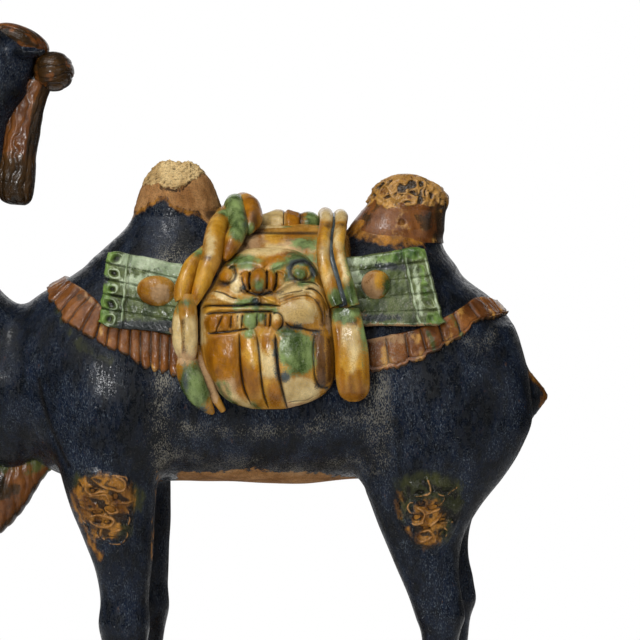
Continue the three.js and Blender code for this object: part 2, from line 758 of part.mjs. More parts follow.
// Twisted hank over the front of the pack: strands as points x, y, z with a radius.
const HANK = [
  [
    [-50, 16, 566, 9],
    [-47, -8, 570, 10],
    [-40, -32, 564, 10.5],
    [-36, -52, 552, 10],
    [-38, -64, 541, 7],
    [-42, -70, 533, 4],
  ],
  [
    [-54, 6, 562, 9],
    [-54, -20, 568, 10.5],
    [-54, -44, 561, 10.5],
    [-51, -62, 548, 10],
    [-50, -77, 537, 9.6],
    [-54, -92, 524, 8.5],
    [-58, -101, 514, 6],
    [-61, -106, 507, 2.5],
  ],
  [
    [-62, -30, 556, 7],
    [-65, -52, 549, 9],
    [-70, -74, 538, 10.2],
    [-72, -91, 524, 10.5],
    [-74, -103, 511, 10.2],
    [-78, -112, 499, 9.6],
    [-82, -119, 487, 8.4],
    [-87, -123, 474, 6],
    [-90, -124, 464, 3],
  ],
  [
    [-79, -84, 517, 6],
    [-86, -98, 510, 7],
    [-94, -108, 500, 8],
    [-99, -117, 486, 8.4],
    [-102, -121, 474, 8.2],
    [-101, -122, 468, 7.4],
  ],
  [
    [-96, -117, 468, 6],
    [-101, -120, 459, 7],
    [-104.5, -122, 447, 7.6],
    [-105, -123, 434, 7.6],
    [-102, -122, 421, 6.8],
    [-98, -119, 411, 5],
  ],
  [
    [-97, -121, 472, 8.4],
    [-96, -125, 458, 9],
    [-95, -127, 445, 8.6],
    [-95, -127, 432, 8.4],
    [-95.5, -125, 419, 8],
    [-97, -120, 409, 6],
  ],
  [
    [-97, -118, 413, 9],
    [-96, -123, 401, 11.5],
    [-91, -124, 388, 12],
    [-85, -121, 376, 10],
    [-78, -116, 366, 6.5],
    [-73, -111, 360, 2.5],
  ],
];

// Doubled cord over the back of the pack, its two strands, and the flat end below them.
const CORDS = [
  [
    [35, 0, 553, 6.8],
    [36, -30, 552, 6.8],
    [36, -52, 549, 6.8],
    [36, -68, 543, 6.6],
    [34, -86, 530, 6.5],
    [33, -101, 516, 6.5],
    [34, -111, 502, 6.5],
    [38, -119, 488, 6.6],
    [42, -124, 474, 6.8],
    [46, -126, 463, 6.6],
  ],
  [
    [50, 0, 552, 6.4],
    [51, -30, 551, 6.4],
    [51, -54, 548, 6.4],
    [50, -74, 538, 6.2],
    [48, -92, 524, 6],
    [49, -105, 510, 6],
    [53, -114, 495, 6],
    [57, -121, 481, 6],
    [60, -125, 470, 6],
    [62, -126, 463, 6],
  ],
];
const CORD_END = [
  [54, -120, 461, 13, 6.5],
  [55.5, -124, 452, 14.5, 8],
  [57, -127, 440, 15.5, 8.8],
  [60, -128, 419, 16.2, 9],
  [61, -127, 398, 16.4, 9],
  [62, -124, 384, 15.4, 8.2],
  [62, -119, 376, 12, 6],
  [62, -114, 371, 5, 3],
];
const HANK_EXTRAS = [0]; // strands that only the near flank has
function strand(points, [count, sides]) {
  const rows = between(points, count);
  const curve = rows.map(([x, y, z]) => at(x, y, z));
  return skin(
    rows.map(([, , , r], k) => {
      const along = curve[Math.min(k + 1, count - 1)].clone().sub(curve[Math.max(k - 1, 0)]).normalize();
      const u = X.clone().addScaledVector(along, -along.x).normalize();
      return ring(curve[k], u, along.cross(u), r, r, r, sides);
    }),
  );
}
function cordEnd() {
  const [count, sides] = FACET_COUNTS.cordEnd;
  return skin(
    between(CORD_END, count).map(([x, y, z, across, deep]) =>
      ring(at(x, y, z), X, Y, across, deep, deep, sides, SQUARE),
    ),
  );
}

// All that hangs on one flank. The far flank is worked more simply.
function goods(far) {
  const strands = HANK.filter((_, i) => !far || !HANK_EXTRAS.includes(i));
  const hank = strands.map((points) => strand(points, FACET_COUNTS.hank));
  const cords = CORDS.map((points) => strand(points, FACET_COUNTS.cord));
  const boards = [FORE_BOARD, AFT_BOARD].map((corners) => board(corners, !far));
  const bosses = [FORE_BOSS, AFT_BOSS].map(boss);
  const forms = [...hank, ...cords, cordEnd(), bag(), ...mask(!far), ...boards, ...bosses];
  return far ? forms.map(onFarFlank) : forms;
}

// The camel, and everything that it carries.
function camelForms() {
  const legs = LEGS.map(([rows, side, back]) => leg(rows, side, back));
  const hair = LEGS.map((one) => legHair(one, one[0] === FORELEG ? FORELEG_HAIR : HIND_LEG_HAIR));
  const front = [neck(), throatHair(), mane(), ...head(), crownRoll()];
  return [trunk(), ...front, ...humps(), ...legs, ...hair, tail()];
}
function loadForms() {
  const borders = [clothBorder(PLEATS[0]), onFarFlank(clothBorder(PLEATS[1]))];
  return [pad(), topRoll(), ...borderTies(), ...borders, ...goods(false), ...goods(true)];
}

// Where the base has to reach: x of its ends and y of its sides, in millimetres.
function baseReach() {
  const soles = LEGS.map(([rows, side, back]) => {
    const [, front, rear, y, half] = rows[rows.length - 1];
    return { front: front + back, rear: rear + back, out: Math.abs(y) + half };
  });
  return {
    front: Math.min(...soles.map((s) => s.front)) * PART - BASE_END_MARGIN,
    rear: Math.max(...soles.map((s) => s.rear)) * PART + BASE_END_MARGIN,
    side: Math.max(...soles.map((s) => s.out)) * PART + BASE_SIDE_MARGIN,
  };
}
// Low slab with rounded corners and sides that lean in, centred on x = 0.
function base({ front, rear, side }) {
  const [half, r] = [(rear - front) / 2, BASE_CORNER];
  const corner = ([sx, sy], quarter, inset, z) =>
    Array.from({ length: CORNER_STEPS + 1 }, (_, i) => {
      const angle = ((quarter + i / CORNER_STEPS) * Math.PI) / 2;
      const x = sx * (half - r) + (r - inset) * Math.cos(angle);
      return at(x, sy * (side - r) + (r - inset) * Math.sin(angle), z);
    });
  const corners = [
    [1, 1],
    [-1, 1],
    [-1, -1],
    [1, -1],
  ];
  const level = (z, inset) => corners.flatMap((signs, quarter) => corner(signs, quarter, inset, z));
  return skin([level(0, 0), level(BASE_THICKNESS, BASE_DRAFT)]);
}

// The figure is set on the base with its stance centred, and its grooves and toes are cut.
function wholePiece() {
  const reach = baseReach();
  const stance = (reach.front + reach.rear) / 2;
  const set = (form) => solid(form.scale(PART, PART, PART).translate(-stance, 0, BASE_THICKNESS));
  const cuts = [...BEARD_GROOVES.map(beardGroove), ...LEGS.map(toeCleft)].map(set);
  const joined = [...camelForms(), ...loadForms()].map(set).reduce((a, b) => a.add(b));
  const cut = cuts.reduce((a, b) => a.subtract(b), joined);
  return cut.add(solid(base(reach))).getMesh();
}

const { vertProperties, numProp, triVerts } = wholePiece();
const geometry = new THREE.BufferGeometry();
geometry.setAttribute("position", new THREE.BufferAttribute(vertProperties, numProp));
geometry.setIndex(new THREE.BufferAttribute(triVerts, 1));
const glaze = new THREE.MeshStandardMaterial({ color: 0x1f2a3a, roughness: 0.25, metalness: 0 });
const camel = new THREE.Mesh(geometry, glaze);
camel.name = "sancai_camel";

export default new THREE.Group().add(camel);
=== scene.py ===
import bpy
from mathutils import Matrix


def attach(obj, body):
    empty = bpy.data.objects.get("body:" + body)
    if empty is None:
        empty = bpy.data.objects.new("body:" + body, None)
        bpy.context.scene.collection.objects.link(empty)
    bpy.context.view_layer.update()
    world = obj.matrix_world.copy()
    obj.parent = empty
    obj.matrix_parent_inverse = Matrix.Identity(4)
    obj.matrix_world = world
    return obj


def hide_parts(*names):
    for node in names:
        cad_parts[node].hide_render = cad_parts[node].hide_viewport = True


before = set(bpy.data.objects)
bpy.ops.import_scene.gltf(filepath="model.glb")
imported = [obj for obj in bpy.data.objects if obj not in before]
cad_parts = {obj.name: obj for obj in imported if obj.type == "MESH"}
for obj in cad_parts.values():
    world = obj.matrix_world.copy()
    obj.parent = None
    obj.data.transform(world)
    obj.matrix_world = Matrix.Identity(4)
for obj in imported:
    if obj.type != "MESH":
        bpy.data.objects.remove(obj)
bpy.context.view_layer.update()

import math

import bpy
import numpy as np
import openvdb as vdb
from mathutils import Vector

# ---- Studio
# A pale table before a window on the left, soft light from the right, from overhead and,
# to draw out the outline, from behind, with an even pale surround. The camera stands level
# with the pack, on the figure's left, and takes in what the photograph takes in.
CAMERA_AT = (0.035, -2.62, 0.5445)
CAMERA_AIM = (0.035, 0.0, 0.4935)
VIEW_WIDE = 0.672  # metres across the picture at the figure's middle
SENSOR = 36.0
SURROUND_DIM = 0.07
FLOOR_SIDE = 2.1  # its far edge stays above the foot of the picture
LAMPS_AIM = (0, 0, 0.45)
SUN_SPREAD = math.radians(70)


def linear(code):
    """sRGB hex turned linear: c/12.92 below 0.04045, else ((c + 0.055)/1.055)^2.4."""
    parts = [int(code[i:i + 2], 16) / 255 for i in (1, 3, 5)]
    return [c / 12.92 if c < 0.04045 else ((c + 0.055) / 1.055) ** 2.4 for c in parts] + [1.0]


def aimed(thing, at, target):
    """Stands a lamp or the camera at a place and turns its -Z axis to the target."""
    thing.location = at
    thing.rotation_euler = (Vector(target) - Vector(at)).to_track_quat("-Z", "Y").to_euler()
    bpy.context.scene.collection.objects.link(thing)


camera = bpy.data.objects.new("camera", bpy.data.cameras.new("camera"))
aimed(camera, CAMERA_AT, CAMERA_AIM)
camera.data.sensor_width = SENSOR
camera.data.lens = SENSOR * math.dist(CAMERA_AT, CAMERA_AIM) / VIEW_WIDE
camera.data.clip_end = 30
bpy.context.scene.camera = camera

bpy.context.scene.view_settings.view_transform = "Standard"
for name, kind, at, watts, size in (
    ("window_light", "AREA", (-0.7, -2.45, 0.92), 27.0, (0.28, 0.44)),
    ("overhead_light", "AREA", (-0.5, -0.9, 2.3), 16.0, (0.5, 0.5)),
    ("right_fill", "AREA", (2.3, -1.7, 1.2), 9.0, (1.6, 1.6)),
    ("rim_light", "AREA", (0.2, 2.4, 1.25), 9.0, (3.2, 1.0)),
    ("skylight", "SUN", (-0.9, -1.3, 2.6), 1.75, ()),
):
    lamp = bpy.data.lights.new(name, kind)
    lamp.energy = watts
    if size:
        lamp.shape, lamp.size, lamp.size_y = "RECTANGLE", *size
    else:
        lamp.angle = SUN_SPREAD
    stand = bpy.data.objects.new(name, lamp)
    stand.visible_camera = False
    aimed(stand, at, LAMPS_AIM)


def node(tree, kind, links, out=0, **settings):
    """Adds a node and gives its output `out`. `links` pairs its inputs with sockets or
    values; settings are its own."""
    made = tree.nodes.new("ShaderNode" + kind)
    for key, value in settings.items():
        setattr(made, key, value)
    for key, value in links.items():
        if isinstance(value, bpy.types.NodeSocket):
            tree.links.new(value, made.inputs[key])
        else:
            made.inputs[key].default_value = value
    return made.outputs[out]


# The surround is bright paper to the eye and dim to the glaze, as round a tabletop tent.
surround = bpy.context.scene.world or bpy.data.worlds.new("surround")
bpy.context.scene.world = surround
surround.use_nodes = True
paper_seen = node(surround.node_tree, "LightPath", {}, "Is Camera Ray")
strength = node(surround.node_tree, "MapRange", {0: paper_seen, 3: SURROUND_DIM, 4: 1.0})
background = surround.node_tree.nodes["Background"]
background.inputs["Color"].default_value = linear("#ffffff")
surround.node_tree.links.new(strength, background.inputs["Strength"])

# Floor: matt white studio paper, faintly mottled.
paper = bpy.data.materials.new("white_paper")
paper.use_nodes = True
mottle = node(paper.node_tree, "TexNoise", {"Scale": 1.5, "Detail": 2.0})
tones = {"Factor": mottle, 6: linear("#f4f4f3"), 7: linear("#fbfbfa")}
tone = node(paper.node_tree, "Mix", tones, 2, data_type="RGBA")
shader = paper.node_tree.nodes["Principled BSDF"]
shader.inputs["Roughness"].default_value = 0.9
paper.node_tree.links.new(tone, shader.inputs["Base Color"])
bpy.ops.mesh.primitive_plane_add(size=FLOOR_SIDE)
floor = bpy.context.object
floor.name = "floor"
floor.data.materials.append(paper)

# ---- Camel's body
# Trunk, neck, legs, lower humps and tail, pressed hollow in moulds from white clay and
# luted together, so that each form runs softly into the next. Cobalt lead glaze was
# poured over it; it stops short of the belly and the front hump, which are bare clay.
PART = 0.797 / 762  # metres to one part of the figure's height
STANCE = 0.00366  # middle of the stance ahead of the base's own middle
BASE_TOP = 0.026
FOOT_SINK = 0.002
SOFT_SQUARE = 2.2  # powers of the squarer ellipses that sections are drawn with
SQUARE = 2.6
NOWHERE = -3  # a painted mark well outside its edge
X, Y, Z = np.eye(3)

# Chest to rump: x, top, level of greatest width, bottom, half-width, in parts.
TRUNK = [
    (-283, 398, 388, 378, 14), (-275, 432, 390, 340, 50), (-254, 461, 390, 308, 76),
    (-220, 488, 388, 290, 92), (-178, 517, 384, 284, 100), (-124, 532, 378, 286, 104),
    (-57, 531, 374, 285, 105), (10, 527, 372, 283, 105), (67, 526, 374, 288, 104),
    (114, 524, 378, 286, 103), (153, 507, 382, 284, 100), (180, 485, 384, 292, 92),
    (203, 467, 380, 304, 76), (223, 443, 376, 318, 54), (236, 408, 370, 336, 29),
    (242, 380, 370, 358, 8),
]
# Out of the chest and round to the head: x and z of nape and throat, half-width.
NECK = [
    (-196, 488, -196, 308, 80), (-236, 474, -241, 312, 76), (-266, 461, -283, 298, 71),
    (-290, 476, -333, 327, 66), (-305, 503, -379, 387, 59), (-313, 531, -406, 455, 52),
    (-311, 555, -411, 517, 47), (-297, 578, -393, 571, 43), (-286, 606, -373, 614, 41),
    (-281, 640, -352, 648, 38), (-264, 672, -324, 684, 34),
]
# Bottom to top: z, x of the front, x of the back, half-width.
FRONT_HUMP = [
    (505, -191, -42, 72), (524, -176, -54, 58), (540, -163, -63, 49), (552, -157, -66, 43),
    (566, -154, -70, 39), (580, -150, -76, 36), (592, -144, -81, 32), (599, -136, -88, 26),
    (602, -127, -98, 15),
]
REAR_HUMP = [
    (500, 36, 161, 72), (516, 47, 154, 58), (530, 54, 152, 48), (543, 61, 153, 42),
    (554, 71, 155, 38), (562, 77, 157, 36), (571, 81, 155, 35), (581, 86, 151, 31),
    (588, 97, 138, 22), (591, 108, 124, 9),
]
# Left legs, shoulder or haunch to sole: z, x of the front, x of the back, y of the
# middle, half-width.
FORELEG = [
    (452, -214, -152, -52, 30), (410, -226, -130, -62, 38), (365, -229, -118, -66, 41),
    (325, -228, -118, -67, 39), (295, -223, -128, -67, 35), (265, -214, -131, -65, 30),
    (235, -202, -133, -64, 27), (205, -191, -135, -63, 25), (175, -185, -138, -63, 23),
    (150, -187, -137, -63, 24), (125, -182, -141, -63, 19), (85, -180, -145, -63, 16),
    (45, -184, -141, -63, 20), (24, -192, -138, -63, 26), (6, -198, -136, -63, 29),
]
HIND_LEG = [
    (440, 106, 218, -48, 30), (400, 90, 232, -58, 40), (355, 80, 238, -62, 43),
    (325, 74, 228, -63, 42), (295, 71, 210, -63, 37), (265, 80, 186, -62, 32),
    (235, 92, 171, -62, 27), (205, 105, 166, -62, 24), (177, 117, 169, -62, 21),
    (157, 124, 172, -62, 21), (135, 130, 166, -62, 18), (85, 131, 163, -62, 15),
    (45, 127, 167, -62, 19), (24, 119, 171, -62, 25), (6, 113, 172, -62, 28),
]
LEGS = [(FORELEG, -1, 0), (FORELEG, 1, 11), (HIND_LEG, -1, 0), (HIND_LEG, 1, 19)]
STEP_SHARE = 0.55  # share of the leg's length, from the top, that the step back is taken over
# Short tail, a wedge set against the rump: x and z inside it, x and z of its outline, half-width.
TAIL = [
    (222, 404, 235, 403, 4), (223, 394, 243, 394, 7), (224, 383, 251, 384, 9), (224, 375, 257, 376, 9),
    (224, 368, 259, 370, 9), (223, 360, 254, 361, 8), (221, 350, 245, 350, 7), (219, 339, 236, 339, 4),
]


def place(points):
    """Parts of the figure's height to metres, stood on the base with its stance centred."""
    return np.asarray(points, float) * PART + (STANCE, 0, BASE_TOP)


def between(rows, count):
    """Rows read smoothly (Catmull-Rom) at even steps from the first row to the last."""
    rows = np.asarray(rows, float)
    t = np.linspace(0, len(rows) - 1, count)
    i = np.minimum(t.astype(int), len(rows) - 2)
    f = (t - i)[:, None]
    a, b, c, d = (rows[np.clip(i + k, 0, len(rows) - 1)] for k in (-1, 0, 1, 2))
    return b + 0.5 * f * (c - a + f * (2 * a - 5 * b + 4 * c - d + f * (3 * (b - c) + d - a)))


def soft(t):
    """Smooth step, 3t² - 2t³ between 0 and 1."""
    t = np.clip(t, 0, 1)
    return t * t * (3 - 2 * t)


def pushed(t, power):
    """A cosine or sine t pushed outwards, sign(t)·|t|^(2/power): a squarer ellipse."""
    return np.sign(t) * np.abs(t) ** (2 / power)


def rings(centre, u, v, side, up, down, count, power=2.0):
    """Row of closed rings, centre + side·cos·u + (up where sin > 0, else down)·sin·v."""
    angle = np.linspace(0, 2 * np.pi, count, endpoint=False)
    across, rise = pushed(np.cos(angle), power), pushed(np.sin(angle), power)
    high = np.where(rise > 0, np.multiply.outer(up, rise), np.multiply.outer(down, rise))
    wide = np.multiply.outer(side, across)
    u, v = np.broadcast_to(u, centre.shape), np.broadcast_to(v, centre.shape)
    return centre[:, None] + wide[..., None] * u[:, None] + high[..., None] * v[:, None]


def spot(x, y, z):
    """Points from their x, y and z, each an array or one number."""
    return np.stack(np.broadcast_arrays(x, y, z), -1).astype(float)


def closed(grid):
    """Skin over a row of rings: its points, its quads between rings, its end fans."""
    rows, sides = grid.shape[:2]
    i = np.arange(rows - 1)[:, None] * sides
    j = np.arange(sides)[None]
    k = (j + 1) % sides
    quads = np.stack([i + j, i + k, i + k + sides, i + j + sides], -1).reshape(-1, 4)
    last = (rows - 1) * sides
    count = rows * sides
    j, k = j[0], k[0]
    fans = np.concatenate([np.stack([k, j, np.full(sides, count)], -1),
                           np.stack([last + j, last + k, np.full(sides, count + 1)], -1)])
    ends = [grid[0].mean(0), grid[-1].mean(0)]
    return np.concatenate([grid.reshape(-1, 3), ends]), quads, fans


def outlined(rows, count, sides, power=2.0):
    """Rings that stand on the lines between facing points of a side view's outline."""
    xa, za, xb, zb, half = between(rows, count).T
    a, b = spot(xa, 0, za), spot(xb, 0, zb)
    reach = np.linalg.norm(a - b, axis=1) / 2
    return rings((a + b) / 2, Y, (a - b) / (2 * reach[:, None]), half, reach, reach, sides, power)


def trunk_rings(count, sides):
    """Upright rings from chest to rump, taller above their widest level than below it."""
    x, top, wide, bottom, half = between(TRUNK, count).T
    return rings(spot(x, 0, wide), Y, Z, half, top - wide, wide - bottom, sides, SOFT_SQUARE)


def upright(rows, count, sides):
    """Level rings from z, x of the front, x of the back and half-width."""
    z, front, back, half = between(rows, count).T
    return rings(spot((front + back) / 2, 0, z), X, Y, (back - front) / 2, half, half, sides, SOFT_SQUARE)


def leg_rings(rows, side, back, count, sides):
    """Level rings down a leg; a right leg's step back is eased in below its shoulder."""
    z, front, rear, y, half = between(rows, count).T
    z[-1] = -FOOT_SINK / PART
    step = back * np.minimum(1, np.linspace(0, 1 / STEP_SHARE, count))
    centre = spot((front + rear) / 2 + step, -side * y, z)
    return rings(centre, X, Y, (rear - front) / 2, half, half, sides, SOFT_SQUARE)


class Clay:
    """Signed distance to joined forms, in metres on an even grid: less than 0 inside."""

    def __init__(self, low, high, step, reach):
        """Empty field from corner to corner, its distances kept up to `reach`."""
        self.step, self.reach = step, reach
        self.first = np.floor(np.array(low) / step).astype(int)
        self.field = np.full(np.ceil(np.array(high) / step).astype(int) - self.first + 1, reach,
                             np.float32)

    def near(self, grid):
        """Distance to one skin, and the window of the field that it reaches into."""
        points, quads, fans = closed(grid)
        level = vdb.FloatGrid.createLevelSetFromPolygons(
            points.astype(np.float32), triangles=fans.astype(np.uint32),
            quads=quads.astype(np.uint32), halfWidth=self.reach / self.step,
            transform=vdb.createLinearTransform(voxelSize=self.step))
        low, high = (np.array(corner) for corner in level.evalActiveVoxelBoundingBox())
        low = np.maximum(low, self.first)
        high = np.minimum(high, self.first + self.field.shape - 1)
        found = np.full(high - low + 1, level.background, np.float32)
        level.copyToArray(found, ijk=tuple(int(c) for c in low))
        window = tuple(slice(a, b) for a, b in zip(low - self.first, high - self.first + 1))
        return np.clip(found, -self.reach, self.reach), window

    def add(self, grid, blend):
        """Smooth union: min(a, b) - h²·blend/4, h = max(0, 1 - |a - b|/blend)."""
        b, window = self.near(grid)
        a = self.field[window]
        blend = blend if np.isscalar(blend) else blend(*self.places(window))
        h = np.maximum(0, 1 - np.abs(a - b) / blend)
        joined = np.minimum(a, b) - h * h * blend / 4
        self.field[window] = np.where(np.maximum(a, b) >= self.reach, np.minimum(a, b), joined)

    def cut(self, grid, blend):
        """Smooth removal of a form: the same rule on the field turned inside out."""
        b, window = self.near(grid)
        a = self.field[window]
        h = np.maximum(0, 1 - np.abs(a + b) / blend)
        self.field[window] = np.maximum(a, -b) + h * h * blend / 4

    def places(self, window):
        """x, y and z of the nodes in a window, in parts, as three broadcastable arrays."""
        axes = [(np.arange(s.start, s.stop) + f) * self.step for s, f in zip(window, self.first)]
        x, y, z = np.meshgrid(*axes, indexing="ij", sparse=True)
        return (x - STANCE) / PART, y / PART, (z - BASE_TOP) / PART

    def read(self, points):
        """Distance at any points, by straight-line reading between the eight nodes round."""
        at = np.clip(points / self.step - self.first, 0, np.array(self.field.shape) - 1.001)
        i = at.astype(int)
        f = at - i
        total = 0
        for corner in np.ndindex(2, 2, 2):
            weight = np.prod(np.where(corner, f, 1 - f), axis=-1)
            total = total + weight * self.field[tuple(np.moveaxis(i + corner, -1, 0))]
        return total

    def facing(self, points):
        """Unit vector away from the clay: the distance's slope over one step each way."""
        slope = np.stack([self.read(points + e * self.step) - self.read(points - e * self.step)
                          for e in np.eye(3)], -1)
        return slope / np.maximum(np.linalg.norm(slope, axis=-1), 1e-9)[..., None]

    def drape(self, points, lift, turns=8):
        """Points moved along the slope until they lie `lift` over the skin."""
        for _ in range(turns):
            points = points + (lift - self.read(points))[..., None] * self.facing(points)
        return points

    def skin(self):
        """Even quads over the whole surface."""
        solid = vdb.FloatGrid()
        solid.background = self.reach
        solid.transform = vdb.createLinearTransform(voxelSize=self.step)
        solid.copyFromArray(self.field, ijk=tuple(int(c) for c in self.first))
        points, quads = solid.convertToQuads()
        return points.astype(float), quads.astype(np.int64)


def waves(points, size, seed, octaves=3):
    """Soft unevenness from -1 to 1: sines of the place along seeded directions, each
    octave half as high and twice as fine, `size` metres from crest to crest."""
    draw = np.random.default_rng(seed)
    total, weight = 0, 0
    for octave in range(octaves):
        for _ in range(5):
            way = draw.normal(size=3)
            way *= 2 * np.pi * 2 ** octave / size / np.linalg.norm(way)
            total = total + np.sin(points @ way + draw.uniform(0, 2 * np.pi)) / 2 ** octave
            weight += 0.6 / 2 ** octave
    return np.clip(total / weight * 1.4, -1, 1)


def piece(name, points, faces, finish, **marks):
    """One closed skin as an object riding on the figure: faces (arrays of quads or triangles)
    turned outwards and shaded smooth. Every mark that its glaze reads is kept on its points;
    one that isn't given lies nowhere."""
    loops = np.concatenate([f.ravel() for f in faces])
    sides = np.concatenate([np.full(len(f), f.shape[1]) for f in faces])
    starts = np.cumsum(sides) - sides
    a, b, c = (points[loops[starts + k]] for k in range(3))
    d = points[loops[starts + sides - 1]]
    volume = np.sum(a * (np.cross(b, c) + np.cross(c, d)))
    if volume < 0:
        loops = np.concatenate([f[:, ::-1].ravel() for f in faces])
    mesh = bpy.data.meshes.new(name)
    mesh.vertices.add(len(points))
    mesh.vertices.foreach_set("co", np.ascontiguousarray(points, np.float32).ravel())
    mesh.loops.add(len(loops))
    mesh.loops.foreach_set("vertex_index", loops.astype(np.int32))
    mesh.polygons.add(len(starts))
    mesh.polygons.foreach_set("loop_start", starts.astype(np.int32))
    mesh.polygons.foreach_set("use_smooth", np.ones(len(starts), bool))
    for mark in dict.fromkeys(n.attribute_name for n in finish.node_tree.nodes if n.type == "ATTRIBUTE"):
        values = marks.get(mark, 0 if mark in ("hollow", "wear") else NOWHERE)
        mesh.attributes.new(mark, "FLOAT", "POINT").data.foreach_set(
            "value", np.broadcast_to(values, len(points)).astype(np.float32))
    mesh.update(calc_edges=True)
    mesh.materials.append(finish)
    made = bpy.data.objects.new(name, mesh)
    bpy.context.scene.collection.objects.link(made)
    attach(made, "root")
    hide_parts("sancai_camel")


# The third colour is the near-black of painted shade in creases, grooves, pits and under ledges, with some
# glaze pooling there.
SPECK, GRIT, POOLED_GLAZE_AND_SHADE, RUBBED = "#6c7780", "#0d0a08", "#0c0a09", "#8a8577"
SPECK_MM, STREAK_MM = 0.9, 3.6
GLASS_IOR = 1.55
RAMP = {"interpolation_type": "SMOOTHSTEP"}
SUM = {"operation": "MULTIPLY_ADD"}  # a·b + c


